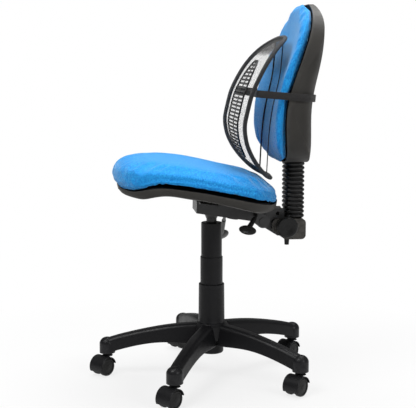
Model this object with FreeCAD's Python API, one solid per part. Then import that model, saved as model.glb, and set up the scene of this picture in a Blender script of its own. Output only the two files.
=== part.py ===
import FreeCAD, Part
import math
import os

# Swivel office chair, in millimetres.  +Z is up, the chair faces -Y, +X is the sitter's left.
# The origin lies on the floor, on the axis of the gas column.

Vec = FreeCAD.Vector
X_AXIS = Vec(1, 0, 0)
Y_AXIS = Vec(0, 1, 0)
Z_AXIS = Vec(0, 0, 1)
ORIGIN = Vec(0, 0, 0)

# ---- clearances --------------------------------------------------------------------------------
RUN_FIT = 0.05            # radial gap of a shaft that turns or slides in its hole
SLIDE_FIT = 0.2           # gap of the sliding cover stages
SOFT_GAP = 0.7            # gap between a soft piece and what carries it
OPEN_GAP = 1.0            # gap round a piece that only passes through

# ---- star base and casters ---------------------------------------------------------------------
LEG_COUNT = 5
FIRST_LEG_DEG = 46.4
LEG_REACH = 288.0         # column axis to caster stem
LEG_WALL = 4.0
LEG_CROWN = 13.0          # rounding of a leg's top edges
LEG_FOOT_R = 1.5
RIB = 2.5
HUB_BOTTOM = 64.0
HUB_TOP = 148.0
HUB_R = 46.0
HUB_SLEEVE_R = 33.0
KNUCKLE_R = 21.5
KNUCKLE_BOTTOM = 60.0
KNUCKLE_TOP = 103.0
STEM_R = 5.5
STEM_TOP = 93.0
STEM_PIN_R = 3.5
STEM_PIN_BOTTOM = 33.0
WHEEL_R = 25.0
WHEEL_W = 16.0
WHEEL_INNER = 6.5         # caster middle plane to the inner face of a wheel
AXLE_R = 3.0
EAR_HALF_W = 6.0           # ears that carry the height lever's pin
EAR_T = 4.0
CASTER_TRAIL = 18.0       # stem axis to axle
CASTER_TRAIL_DEG = -47.0  # where the casters trail to
HOOD_R = 28.5
HOOD_WALL = 3.0
HOOD_HALF_W = 24.0
HOOD_WEB = 6.0            # half thickness of the web between the wheels
HOOD_FROM_DEG = -25.0
HOOD_TO_DEG = 165.0
WEB_BOTTOM = 18.0         # below this the wheels show a gap between them

# ---- gas column and its telescopic cover -------------------------------------------------------
LIFT_STROKE = 110.0
TUBE_R = 25.0
TUBE_WALL = 2.0
TUBE_BOTTOM = 66.0
TUBE_TOP = 252.0
TUBE_FLOOR = 4.0
BUSH_LENGTH = 60.0
BEARING_H = 6.0
BEARING_R = 16.0
ROD_R = 5.0
ROD_FLANGE_R = 12.0
ROD_FLANGE_H = 4.0
GAS_R = 14.0
GAS_WALL = 2.0
GAS_TAPER_R = 13.2
GAS_PLUG = 12.0
GAS_TOP = 466.0
PISTON_H = 8.0
PIN_R = 3.0
PIN_RISE = 6.0
COVER_WALL = 1.6
COVER_LIP = 3.0
COVER_OVERLAP = 20.0
UPPER_R = 28.3
UPPER_TOP = 425.0
UPPER_VISIBLE = 94.0
MIDDLE_VISIBLE = 75.0
LOWER_FOOT_R = 36.0
COVER_STEP = 4.4          # radius step from the middle stage to the lower one

# ---- seat and mechanism, drawn level and then leaned back about X ------------------------------
SEAT_LEAN_DEG = 9.0
LEAN_Z = 470.0            # height of the axis that the level drawing leans about
SEAT_HALF_W = 228.0
SEAT_SHELL_INSET = 5.0
SHELL_WALL = 3.0
BOARD_T = 11.0
BOARD_INSET = 14.0
MECH_BOTTOM = 450.0
MECH_TOP = 481.0
MECH_FRONT = -48.0
MECH_REAR = 118.0
MECH_HALF_W = 52.0
MECH_WALL = 3.0
PLATE_T = 3.0
PLATE_HALF_W = 100.0
PLATE_FRONT = -44.0
PLATE_REAR = 108.0
BOLT_X = 80.0
BOLT_FRONT = -22.0
BOLT_REAR = 86.0
BOLT_R = 3.0
BOLT_HEAD_R = 6.5
BOLT_HEAD_H = 4.0
BOSS_R = 12.0
SOCKET_R = 21.0
SOCKET_BOTTOM = 437.0

# ---- back carrier: pivot, arm, housing, upright bar --------------------------------------------
PIVOT_Y = 133.0
PIVOT_Z = 432.0
PIVOT_LIP = 4.0            # a pin's head stands this far out, and is this much wider
PIVOT_R = 6.0
PIVOT_BOSS_R = 18.0
ARM_HALF_W = 30.0
ARM_T = 4.0
BAR_HALF_W = 20.0
BAR_T = 6.0
BAR_Y = 223.0             # middle of the bar's thickness
BAR_BOTTOM = 392.0
BAR_TOP = 780.0
HOUSING_HALF_W = 42.0
HOUSING_WALL = 3.0
HOUSING_REAR = 252.0
HOUSING_FRONT = 160.0
HOUSING_BOTTOM = 380.0
HOUSING_MOUTH = (150.0, 240.0)   # opening in the housing's top, front to rear
HOUSING_TOP = 436.0
HANDWHEEL_HUB_R = 12.0
HANDWHEEL_Y = 198.0
HANDWHEEL_Z = 421.0
HANDWHEEL_R = 29.0
HANDWHEEL_T = 13.0
HANDWHEEL_SHAFT_R = 4.0
CLAMP_R = 6.5
CLAMP_BOTTOM = 359.0
BELLOWS_FOLDS = 13
BELLOWS_HALF_X = 37.0
BELLOWS_HALF_Y = 28.0
BELLOWS_FOLD_DEPTH = 5.5
BELLOWS_WALL = 2.0
SLIDER_BOTTOM = 655.0
SLIDER_TOP = 745.0
SLIDER_HALF_W = 32.0

# ---- levers ------------------------------------------------------------------------------------
LEVER_R = 4.5
NECK_R = 7.0
PADDLE_HALF_L = 32.0
PADDLE_HALF_W = 22.0
PADDLE_HALF_T = 7.5

# ---- backrest ----------------------------------------------------------------------------------
BACK_BOTTOM = 590.0
BACK_HALF_W = 192.0
BACK_BOARD_T = 10.0
BACK_SHELL_INSET = 7.0
BACK_DISH = 24.0          # how much deeper the middle of the back is than its sides
BACK_FLAT_EDGE = 10.0     # margin of the back that is not hollowed
BACK_SIDE_ROLL = 5.0      # how far the padded sides stand forward of the front profile
BACK_BOSSES = [(-115, 690), (115, 690), (-95, 880), (95, 880)]
BACK_SCREWS = [(-26, 668), (26, 668), (-26, 732), (26, 732)]
BACK_SCREW_R = 2.5
BACK_SCREW_END = 212.0

# ---- strap-on lumbar support -------------------------------------------------------------------
LUMBAR_HALF_W = 188.0
LUMBAR_BOTTOM = 548.0
LUMBAR_TOP = 921.0
LUMBAR_PIPE_R = 5.5
LUMBAR_POWER = 2.9        # roundness of the frame's outline
MESH_T = 1.2
BEAD_HALF_W = 92.0
BEAD_BOTTOM = 600.0
BEAD_TOP = 862.0
BEAD_T = 5.0
BEAD_ROWS = 27
CORD_X = 55.0
CORD_R = 1.6
STRAP_H = 19.0
STRAP_T = 1.4
STRAP_Z = 778.0
STRAP_LEAN_DEG = 5.0
STRAP_GAP = 2.2           # between the strap and what it goes round

# Side profiles are lists of (position, height) that smooth_at() joins smoothly.
SEAT_TOP = [(-288, 522), (-281, 545), (-254, 565), (-182, 580), (-105, 586), (-44, 584),
            (12, 581), (69, 578), (116, 571), (150, 561), (164, 552), (170, 539)]
SEAT_RIM = [(-288, 506), (-262, 494), (-236, 495), (-208, 503), (-154, 522), (-66, 524), (37, 519),
            (104, 514), (135, 513), (160, 518), (170, 523)]
SEAT_UNDER = [(-262, 487), (-250, 482), (-223, 478), (-183, 486), (-139, 499), (-57, 500),
              (37, 493), (93, 487), (130, 490), (150, 497), (166, 512)]
BACK_FRONT = [(583, 183), (595, 166), (609, 156), (650, 143), (692, 140), (743, 144), (777, 150),
              (810, 160), (870, 182), (927, 206), (976, 222), (1006, 235), (1017, 247)]
BACK_RIM = [(583, 187), (604, 183), (634, 175), (690, 169), (756, 173), (801, 186), (861, 208),
            (921, 231), (983, 249), (1017, 252)]
BACK_REAR = [(590, 244), (602, 251), (618, 254), (673, 254), (732, 255), (797, 264), (861, 277),
             (893, 281), (940, 279), (988, 272), (1006, 264)]
LUMBAR_BOW = [(548, 158), (557, 137), (580, 111), (610, 87), (648, 67), (700, 59), (750, 67),
              (790, 86), (830, 105), (860, 125), (890, 151), (907, 172), (921, 191)]


# ---- small tools -------------------------------------------------------------------------------
def rod(radius, start, end):
    return Part.makeCylinder(radius, (end - start).Length, start, end - start)


def tube(outer_r, inner_r, bottom, top):
    outer = Part.makeCylinder(outer_r, top - bottom, Vec(0, 0, bottom))
    return outer.cut(Part.makeCylinder(inner_r, top - bottom, Vec(0, 0, bottom)))


def slab(x0, x1, y0, y1, z0, z1):
    return Part.makeBox(x1 - x0, y1 - y0, z1 - z0, Vec(x0, y0, z0))


def turned(outline):
    """A closed outline of (radius, height) points turned about Z."""
    points = [Vec(r, 0, z) for r, z in outline]
    face = Part.Face(Part.makePolygon(points + points[:1]))
    return face.revolve(ORIGIN, Z_AXIS, 360)


def rounded_wire(corners):
    """A closed wire through (point, corner radius) pairs, lines joined by tangent arcs."""
    edges = []
    count = len(corners)
    joints = []
    for k, (corner, radius) in enumerate(corners):
        back = (corners[k - 1][0] - corner).normalize()
        ahead = (corners[(k + 1) % count][0] - corner).normalize()
        half_angle = back.getAngle(ahead) / 2
        reach = radius / math.tan(half_angle)
        middle = corner + (back + ahead).normalize() * (radius / math.sin(half_angle) - radius)
        joints.append((corner + back * reach, middle, corner + ahead * reach))
    for k, (start, middle, end) in enumerate(joints):
        edges.append(Part.Arc(start, middle, end).toShape())
        edges.append(Part.LineSegment(end, joints[(k + 1) % count][0]).toShape())
    return Part.Wire(edges)


def side_prism(outline, x0, x1, radius=None):
    """An outline of (y, z) points, or (y, z, corner radius), extruded along X."""
    if radius is None:
        points = [Vec(x0, y, z) for y, z in outline]
        wire = Part.makePolygon(points + points[:1])
    else:
        wire = rounded_wire([(Vec(x0, y, z), radius) for y, z in outline])
    return Part.Face(wire).extrude(Vec(x1 - x0, 0, 0))


def smooth_at(profile, s):
    """Height of a profile at s: cubic between its points, without overshoot."""
    if s <= profile[0][0]:
        return profile[0][1]
    if s >= profile[-1][0]:
        return profile[-1][1]
    slopes = [(b[1] - a[1]) / (b[0] - a[0]) for a, b in zip(profile, profile[1:])]
    tangents = [slopes[0]]
    for before, after in zip(slopes, slopes[1:]):
        same_way = before * after > 0
        tangents.append(2 * before * after / (before + after) if same_way else 0.0)
    tangents.append(slopes[-1])
    k = max(i for i in range(len(profile) - 1) if profile[i][0] <= s)
    width = profile[k + 1][0] - profile[k][0]
    t = (s - profile[k][0]) / width
    rise = profile[k][1] * (2 * t**3 - 3 * t**2 + 1) + profile[k + 1][1] * (3 * t**2 - 2 * t**3)
    return rise + width * (tangents[k] * (t**3 - 2 * t**2 + t) + tangents[k + 1] * (t**3 - t**2))


def signed_power(value, power):
    return math.copysign(abs(value) ** power, value)


def closed_spline(points):
    curve = Part.BSplineCurve()
    curve.interpolate(Points=points, PeriodicFlag=True)
    return Part.Wire([curve.toShape()])


def open_spline(points):
    curve = Part.BSplineCurve()
    curve.interpolate(Points=points)
    return curve.toShape()


def lengthwise(start, end, count, keep=0.996):
    """Stations from start to end, closer together towards both ends."""
    middle = (start + end) / 2
    half = (end - start) / 2 * keep
    return [middle - half * math.cos(math.pi * k / (count - 1)) for k in range(count)]


# ---- outlines of the padded pieces -------------------------------------------------------------
def seat_half_width(y, inset=0.0, shell_front=None):
    front = SEAT_TOP[0][0] + inset if shell_front is None else shell_front
    rear = SEAT_TOP[-1][0] - inset
    u = min(1.0, abs(2 * (y - front) / (rear - front) - 1))
    return (SEAT_HALF_W - inset) * (1 - u**3.4) ** (1 / 2.4)


def back_half_width(z, inset=0.0):
    """Broad and square at the foot, narrower and rounder at the top."""
    bottom, top = BACK_FRONT[0][0] + inset, BACK_FRONT[-1][0] - inset
    u = max(-1.0, min(1.0, 2 * (z - bottom) / (top - bottom) - 1))
    power, root = (2.6, 2.0) if u > 0 else (5.0, 3.0)
    return (BACK_HALF_W - inset) * (1 - abs(u) ** power) ** (1 / root)


def ring_points(half_w, low, high, low_power, high_power, place, count=36):
    """Points round a rounded section, low to high; place() turns (across, level) into a point."""
    middle = low + 0.42 * (high - low)
    points = []
    for k in range(count):
        turn = 2 * math.pi * (k + 0.5) / count
        c, s = math.cos(turn), math.sin(turn)
        power = high_power if s > 0 else low_power
        reach = high - middle if s > 0 else middle - low
        across = half_w * signed_power(c, 2 / power)
        along = middle + reach * signed_power(s, 2 / power)
        points.append(place(across, along))
    return points


def bowl_wire(half_w, rim, floor, power, place, count=22):
    """Half a rounded section from rim to floor, closed by a straight line along the rim."""
    points = []
    for k in range(count + 1):
        turn = math.pi * k / count
        across = half_w * signed_power(math.cos(turn), 2 / power)
        points.append(place(across, rim + (floor - rim) * math.sin(turn) ** (2 / power)))
    return Part.Wire([open_spline(points), Part.LineSegment(points[-1], points[0]).toShape()])


# ---- star base ---------------------------------------------------------------------------------
LEG_SECTIONS = [  # radius, top, bottom, half width of the top, half width of the bottom
    (24.0, 148.0, 92.0, 18.0, 26.0),
    (104.0, 141.0, 94.0, 17.0, 25.0),
    (162.0, 132.0, 92.0, 16.5, 23.0),
    (212.0, 121.5, 83.0, 16.0, 21.5),
    (254.0, 111.0, 72.0, 16.0, 20.5),
    (LEG_REACH - 3, 101.5, 62.0, 16.0, 20.0),
]
LEG_RIBS = (85.0, 130.0, 175.0, 220.0)


def leg_section(x, top, bottom, half_top, half_bottom, crown):
    corners = [
        (Vec(x, -half_bottom, bottom), LEG_FOOT_R),
        (Vec(x, -half_top, top), crown),
        (Vec(x, half_top, top), crown),
        (Vec(x, half_bottom, bottom), LEG_FOOT_R),
    ]
    return rounded_wire(corners)


def leg():
    outer = Part.makeLoft([leg_section(*row, LEG_CROWN) for row in LEG_SECTIONS], True, False)
    hollow_rows = []
    for x, top, bottom, half_top, half_bottom in LEG_SECTIONS[1:-1]:
        row = (x, top - LEG_WALL, bottom - LEG_WALL, half_top - LEG_WALL, half_bottom - LEG_WALL)
        hollow_rows.append(row)
    first = hollow_rows[0]
    hollow_rows[0] = (HUB_R + 12.0,) + first[1:]
    hollow = Part.makeLoft([leg_section(*row, LEG_CROWN - LEG_WALL) for row in hollow_rows], True, False)
    for x in LEG_RIBS:
        hollow = hollow.cut(slab(x - RIB / 2, x + RIB / 2, -HUB_R, HUB_R, HUB_BOTTOM, HUB_TOP))
    return outer.cut(hollow)


def knuckle():
    dome = 16.0
    rise = KNUCKLE_TOP - dome
    outline = [Vec(0, 0, KNUCKLE_BOTTOM), Vec(KNUCKLE_R, 0, KNUCKLE_BOTTOM), Vec(KNUCKLE_R, 0, rise)]
    edges = [Part.LineSegment(a, b).toShape() for a, b in zip(outline, outline[1:])]
    shoulder = Vec(KNUCKLE_R * math.sin(math.pi / 4), 0, rise + dome * math.sin(math.pi / 4))
    crown = Vec(0, 0, KNUCKLE_TOP)
    edges.append(Part.Arc(outline[2], shoulder, crown).toShape())
    edges.append(Part.LineSegment(crown, outline[0]).toShape())
    solid = Part.Face(Part.Wire(edges)).revolve(ORIGIN, Z_AXIS, 360)
    solid.translate(Vec(LEG_REACH, 0, 0))
    return solid


def leg_angles():
    return [FIRST_LEG_DEG + k * 360.0 / LEG_COUNT for k in range(LEG_COUNT)]


def stem_places():
    return [Vec(LEG_REACH * math.cos(math.radians(a)), LEG_REACH * math.sin(math.radians(a)), 0)
            for a in leg_angles()]


def star_base():
    hub = turned([
        (0, HUB_BOTTOM), (HUB_SLEEVE_R - 2, HUB_BOTTOM), (HUB_SLEEVE_R, HUB_BOTTOM + 3),
        (HUB_SLEEVE_R, 92), (HUB_R, 104), (HUB_R, HUB_TOP - 7), (HUB_R - 6, HUB_TOP), (0, HUB_TOP),
    ])
    one_leg = leg().fuse(knuckle())
    legs = []
    for angle in leg_angles():
        turned_leg = one_leg.copy()
        turned_leg.rotate(ORIGIN, Z_AXIS, angle)
        legs.append(turned_leg)
    base = hub.multiFuse(legs)
    base = base.cut(Part.makeCylinder(TUBE_R + RUN_FIT, HUB_TOP, ORIGIN))
    sockets = [Part.makeCylinder(STEM_R, STEM_TOP + 1, place) for place in stem_places()]
    return base.cut(Part.makeCompound(sockets))


# ---- casters -----------------------------------------------------------------------------------
def caster_stem(place):
    pin = Part.makeCylinder(STEM_PIN_R, KNUCKLE_BOTTOM - STEM_PIN_BOTTOM, Vec(0, 0, STEM_PIN_BOTTOM))
    barrel = Part.makeCylinder(STEM_R, STEM_TOP - KNUCKLE_BOTTOM, Vec(0, 0, KNUCKLE_BOTTOM))
    stem = pin.fuse(barrel).fuse(Part.makeCylinder(STEM_R + 2, 1.2, Vec(0, 0, KNUCKLE_BOTTOM - 1.2)))
    stem = stem.removeSplitter()
    stem.translate(place)
    return stem


def along_axle(radius, from_y, to_y):
    return rod(radius, Vec(CASTER_TRAIL, from_y, WHEEL_R), Vec(CASTER_TRAIL, to_y, WHEEL_R))


def caster_hood():
    """Arched hood over both wheels, with the web between them that holds stem and axle."""
    sweep = HOOD_TO_DEG - HOOD_FROM_DEG
    inner_r = HOOD_R - HOOD_WALL
    start = math.radians(HOOD_FROM_DEG)
    corners = []
    for radius, y in ((inner_r, -1), (HOOD_R, -1), (HOOD_R, 1), (inner_r, 1)):
        x = CASTER_TRAIL + radius * math.cos(start)
        corners.append((Vec(x, y * HOOD_HALF_W, WHEEL_R + radius * math.sin(start)), 1.2))
    arch = Part.Face(rounded_wire(corners)).revolve(Vec(CASTER_TRAIL, 0, WHEEL_R), Y_AXIS * -1, sweep)
    web = along_axle(HOOD_R - 1, -HOOD_WEB, HOOD_WEB)
    web = web.cut(slab(CASTER_TRAIL - HOOD_R, CASTER_TRAIL + HOOD_R,
                       -HOOD_WEB, HOOD_WEB, -HOOD_R, WEB_BOTTOM))
    boss_top = KNUCKLE_BOTTOM - 1.2 - SLIDE_FIT
    boss = Part.makeCylinder(HOOD_WEB, boss_top - STEM_PIN_BOTTOM + 6, Vec(0, 0, STEM_PIN_BOTTOM - 6))
    hood = arch.fuse(web).fuse(boss)
    collar = Part.makeCone(15.0, 10.0, 7.0, Vec(0, 0, boss_top - 7.0))
    above_wheels = along_axle(inner_r + 1, -HOOD_HALF_W, HOOD_HALF_W)
    hood = hood.fuse(collar.cut(above_wheels))
    pin_floor = Vec(0, 0, STEM_PIN_BOTTOM - SLIDE_FIT)
    hood = hood.cut(Part.makeCylinder(STEM_PIN_R + RUN_FIT, boss_top, pin_floor))
    return hood.cut(along_axle(AXLE_R, -HOOD_WEB, HOOD_WEB)).removeSplitter()


def caster_axle():
    half = WHEEL_INNER + WHEEL_W - 4
    return along_axle(AXLE_R, -half, half)


def caster_wheel(side):
    """Tyre with a rounded tread, a recessed outer face and a blind bore for the axle."""
    outline = [
        (0, 0), (WHEEL_R - 6, 0), (WHEEL_R - 2, 1), (WHEEL_R, 4), (WHEEL_R, WHEEL_W - 5),
        (WHEEL_R - 1, WHEEL_W - 2), (WHEEL_R - 4, WHEEL_W - 0.5), (WHEEL_R - 6, WHEEL_W - 0.5),
        (WHEEL_R - 7, WHEEL_W - 2), (7, WHEEL_W - 0.8), (5, WHEEL_W), (0, WHEEL_W),
    ]
    wheel = turned(outline)
    bore = Part.makeCylinder(AXLE_R + RUN_FIT, WHEEL_W - 4 + SLIDE_FIT, ORIGIN)
    wheel = wheel.cut(bore)
    wheel.rotate(ORIGIN, X_AXIS, -90 * side)
    wheel.translate(Vec(CASTER_TRAIL, side * WHEEL_INNER, WHEEL_R))
    return wheel


def placed_on_caster(shape, place):
    piece = shape.copy()
    piece.rotate(ORIGIN, Z_AXIS, CASTER_TRAIL_DEG)
    piece.translate(place)
    return piece


# ---- gas column --------------------------------------------------------------------------------
BUSH_BOTTOM = TUBE_TOP - BUSH_LENGTH
BEARING_BOTTOM = TUBE_BOTTOM + TUBE_FLOOR
ROD_FLANGE_BOTTOM = BEARING_BOTTOM + BEARING_H
GAS_BOTTOM = ROD_FLANGE_BOTTOM + ROD_FLANGE_H + LIFT_STROKE + 2.0
GAS_CHAMBER = GAS_BOTTOM + GAS_PLUG
UPPER_BOTTOM = UPPER_TOP - UPPER_VISIBLE
MIDDLE_BOTTOM = UPPER_BOTTOM - MIDDLE_VISIBLE
MIDDLE_IN_R = UPPER_R + 0.6
MIDDLE_R = MIDDLE_IN_R + COVER_WALL
LOWER_R = MIDDLE_R + COVER_STEP


def column_tube():
    body = tube(TUBE_R, TUBE_R - TUBE_WALL, TUBE_BOTTOM, TUBE_TOP)
    floor = tube(TUBE_R - TUBE_WALL, ROD_R + OPEN_GAP, TUBE_BOTTOM, BEARING_BOTTOM)
    return body.fuse(floor).removeSplitter()


def piston_rod():
    shaft = Part.makeCylinder(ROD_R, GAS_CHAMBER + PISTON_H - TUBE_BOTTOM, Vec(0, 0, TUBE_BOTTOM))
    flange = Part.makeCylinder(ROD_FLANGE_R, ROD_FLANGE_H, Vec(0, 0, ROD_FLANGE_BOTTOM + RUN_FIT))
    piston_z = GAS_CHAMBER + SLIDE_FIT
    piston = Part.makeCylinder(GAS_R - GAS_WALL - RUN_FIT, PISTON_H - SLIDE_FIT, Vec(0, 0, piston_z))
    return shaft.fuse(flange).fuse(piston).removeSplitter()


def gas_body():
    """Outer form of the gas cylinder: straight, then a taper that the mechanism sits on."""
    return turned([(0, GAS_BOTTOM), (GAS_R, GAS_BOTTOM), (GAS_R, SOCKET_BOTTOM),
                   (GAS_TAPER_R, GAS_TOP), (0, GAS_TOP)])


def gas_cylinder():
    chamber_top = SOCKET_BOTTOM - 8.0
    chamber = Part.makeCylinder(GAS_R - GAS_WALL, chamber_top - GAS_CHAMBER, Vec(0, 0, GAS_CHAMBER))
    cylinder = gas_body().cut(chamber)
    cylinder = cylinder.cut(Part.makeCylinder(ROD_R + RUN_FIT, GAS_PLUG, Vec(0, 0, GAS_BOTTOM)))
    return cylinder.cut(Part.makeCylinder(PIN_R + RUN_FIT, GAS_TOP - chamber_top, Vec(0, 0, chamber_top)))


def release_pin():
    pin_bottom = GAS_TOP - 25.0
    return Part.makeCylinder(PIN_R, GAS_TOP + PIN_RISE - pin_bottom, Vec(0, 0, pin_bottom))


def cover_lower():
    inner = LOWER_R - COVER_WALL - 0.8
    lip = MIDDLE_R + SLIDE_FIT
    return turned([
        (LOWER_FOOT_R - COVER_WALL - 0.8, HUB_TOP), (LOWER_FOOT_R, HUB_TOP), (LOWER_R, MIDDLE_BOTTOM - 1),
        (LOWER_R - 1, MIDDLE_BOTTOM), (lip, MIDDLE_BOTTOM), (lip, MIDDLE_BOTTOM - COVER_LIP),
        (inner, MIDDLE_BOTTOM - COVER_LIP - 1),
    ])


def cover_middle():
    low = MIDDLE_BOTTOM - COVER_OVERLAP
    lip = UPPER_R + SLIDE_FIT
    flange = LOWER_R - COVER_WALL - 0.8 - SLIDE_FIT
    return turned([
        (MIDDLE_IN_R, low), (flange, low), (flange, low + COVER_LIP), (MIDDLE_R, low + COVER_LIP),
        (MIDDLE_R, UPPER_BOTTOM - 1), (MIDDLE_R - 0.6, UPPER_BOTTOM), (lip, UPPER_BOTTOM),
        (lip, UPPER_BOTTOM - COVER_LIP), (MIDDLE_IN_R, UPPER_BOTTOM - COVER_LIP),
    ])


def cover_upper():
    low = UPPER_BOTTOM - COVER_OVERLAP
    flange = MIDDLE_IN_R - SLIDE_FIT
    inner = UPPER_R - COVER_WALL
    return turned([
        (inner, low), (flange, low), (flange, low + COVER_LIP), (UPPER_R, low + COVER_LIP),
        (UPPER_R, UPPER_TOP - 1.5), (UPPER_R - 1.5, UPPER_TOP), (GAS_R, UPPER_TOP),
        (GAS_R, UPPER_TOP - COVER_LIP), (inner, UPPER_TOP - COVER_LIP),
    ])


# ---- seat, drawn level -------------------------------------------------------------------------
def leaned(shape):
    piece = shape.copy()
    piece.rotate(Vec(0, 0, LEAN_Z), X_AXIS, -SEAT_LEAN_DEG)
    return piece


def lean_point(x, y, z):
    """A point given in the level drawing, where it lies on the finished chair."""
    lean = math.radians(SEAT_LEAN_DEG)
    rise = z - LEAN_Z
    level = y * math.cos(lean) + rise * math.sin(lean)
    return Vec(x, level, LEAN_Z + rise * math.cos(lean) - y * math.sin(lean))


def level_point(y, z):
    """The level drawing's (y, z) of a point on the finished chair."""
    lean = math.radians(SEAT_LEAN_DEG)
    rise = z - LEAN_Z
    return y * math.cos(lean) - rise * math.sin(lean), LEAN_Z + y * math.sin(lean) + rise * math.cos(lean)


def seat_cushion():
    wires = []
    for y in lengthwise(SEAT_TOP[0][0], SEAT_TOP[-1][0], 19):
        low = smooth_at(SEAT_RIM, y) + SOFT_GAP
        high = smooth_at(SEAT_TOP, y)
        points = ring_points(seat_half_width(y), low, high, 5.0, 3.2, lambda x, z: Vec(x, y, z))
        wires.append(closed_spline(points))
    return Part.makeLoft(wires, True, False)


def seat_bowl(inset, drop):
    """Solid between the rim and the underside of the shell, drawn in by inset."""
    wires = []
    front, rear = SEAT_UNDER[0][0] + inset, SEAT_UNDER[-1][0] - inset
    for y in lengthwise(front, rear, 15, 0.985):
        rim = smooth_at(SEAT_RIM, y) + (drop - 1 if drop else 0.0)
        floor = smooth_at(SEAT_UNDER, y) + drop
        half_w = seat_half_width(y, SEAT_SHELL_INSET + inset, front)
        wires.append(bowl_wire(half_w, rim, floor, 7.0, lambda x, z: Vec(x, y, z)))
    return Part.makeLoft(wires, True, False)


def seat_board_blank():
    """Moulded plywood: its top follows the rim of the shell."""
    front, rear = SEAT_UNDER[0][0] + 2 * BOARD_INSET, SEAT_UNDER[-1][0] - 2 * BOARD_INSET
    stations = [front + (rear - front) * k / 12 for k in range(13)]
    top = [Vec(0, y, smooth_at(SEAT_RIM, y) - SOFT_GAP / 2) for y in stations]
    under = [p - Vec(0, 0, BOARD_T) for p in top]
    edges = [open_spline(top), Part.LineSegment(top[-1], under[-1]).toShape(),
             open_spline(under[::-1]), Part.LineSegment(under[0], top[0]).toShape()]
    strip = Part.Face(Part.Wire(edges)).extrude(Vec(2 * SEAT_HALF_W, 0, 0))
    strip.translate(Vec(-SEAT_HALF_W, 0, 0))
    drawn_in = SEAT_SHELL_INSET + BOARD_INSET
    plan_front = SEAT_UNDER[0][0] + BOARD_INSET
    plan = [Vec(seat_half_width(y, drawn_in, plan_front), y, MECH_TOP)
            for y in lengthwise(plan_front, SEAT_TOP[-1][0] - drawn_in, 21, 0.9999)]
    plan += [Vec(-p.x, p.y, p.z) for p in plan[::-1]]
    outline = Part.Face(closed_spline(plan)).extrude(Vec(0, 0, 2 * (SEAT_TOP[4][1] - MECH_TOP)))
    return strip.common(outline)


def bolt_places():
    return [(x, y) for x in (-BOLT_X, BOLT_X) for y in (BOLT_FRONT, BOLT_REAR)]


PLATE_TOP = MECH_TOP + PLATE_T


def bolt_end(y):
    return smooth_at(SEAT_RIM, y) - 3.0


def seat_board():
    board = seat_board_blank()
    for x, y in bolt_places():
        board = board.cut(Part.makeCylinder(BOLT_R, bolt_end(y) - PLATE_TOP, Vec(x, y, PLATE_TOP)))
    return board


def seat_shell():
    """Thin bowl with four bosses that stand on the seat plate and carry the board."""
    shell = seat_bowl(0.0, 0.0).cut(seat_bowl(SHELL_WALL, SHELL_WALL))
    board = seat_board_blank()
    board.translate(Vec(0, 0, -SLIDE_FIT))
    for x, y in bolt_places():
        height = smooth_at(SEAT_RIM, y) - PLATE_TOP
        boss = Part.makeCylinder(BOSS_R, height, Vec(x, y, PLATE_TOP)).cut(board)
        boss = max(boss.Solids, key=lambda solid: solid.Volume)
        shell = shell.fuse(boss)
    for x, y in bolt_places():
        shell = shell.cut(Part.makeCylinder(BOLT_R + SLIDE_FIT, BOARD_T * 4, Vec(x, y, PLATE_TOP)))
    return shell


def seat_screws():
    screws = []
    for x, y in bolt_places():
        shank = Part.makeCylinder(BOLT_R, bolt_end(y) - MECH_TOP, Vec(x, y, MECH_TOP))
        head = Part.makeCylinder(BOLT_HEAD_R, BOLT_HEAD_H, Vec(x, y, MECH_TOP - BOLT_HEAD_H))
        screws.append(shank.fuse(head).removeSplitter())
    return Part.makeCompound(screws)


# ---- mechanism, drawn level --------------------------------------------------------------------
LEVEL_PIVOT = level_point(PIVOT_Y, PIVOT_Z)
HEIGHT_PIVOT = Vec(-34.0, 26.0, 462.0)
HEIGHT_SHAFT_R = 3.0
HEIGHT_SHAFT = (10.0, 42.0)
TILT_PIVOT = Vec(0, 112.0, 451.0)
TILT_SHAFT_R = 5.0


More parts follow.
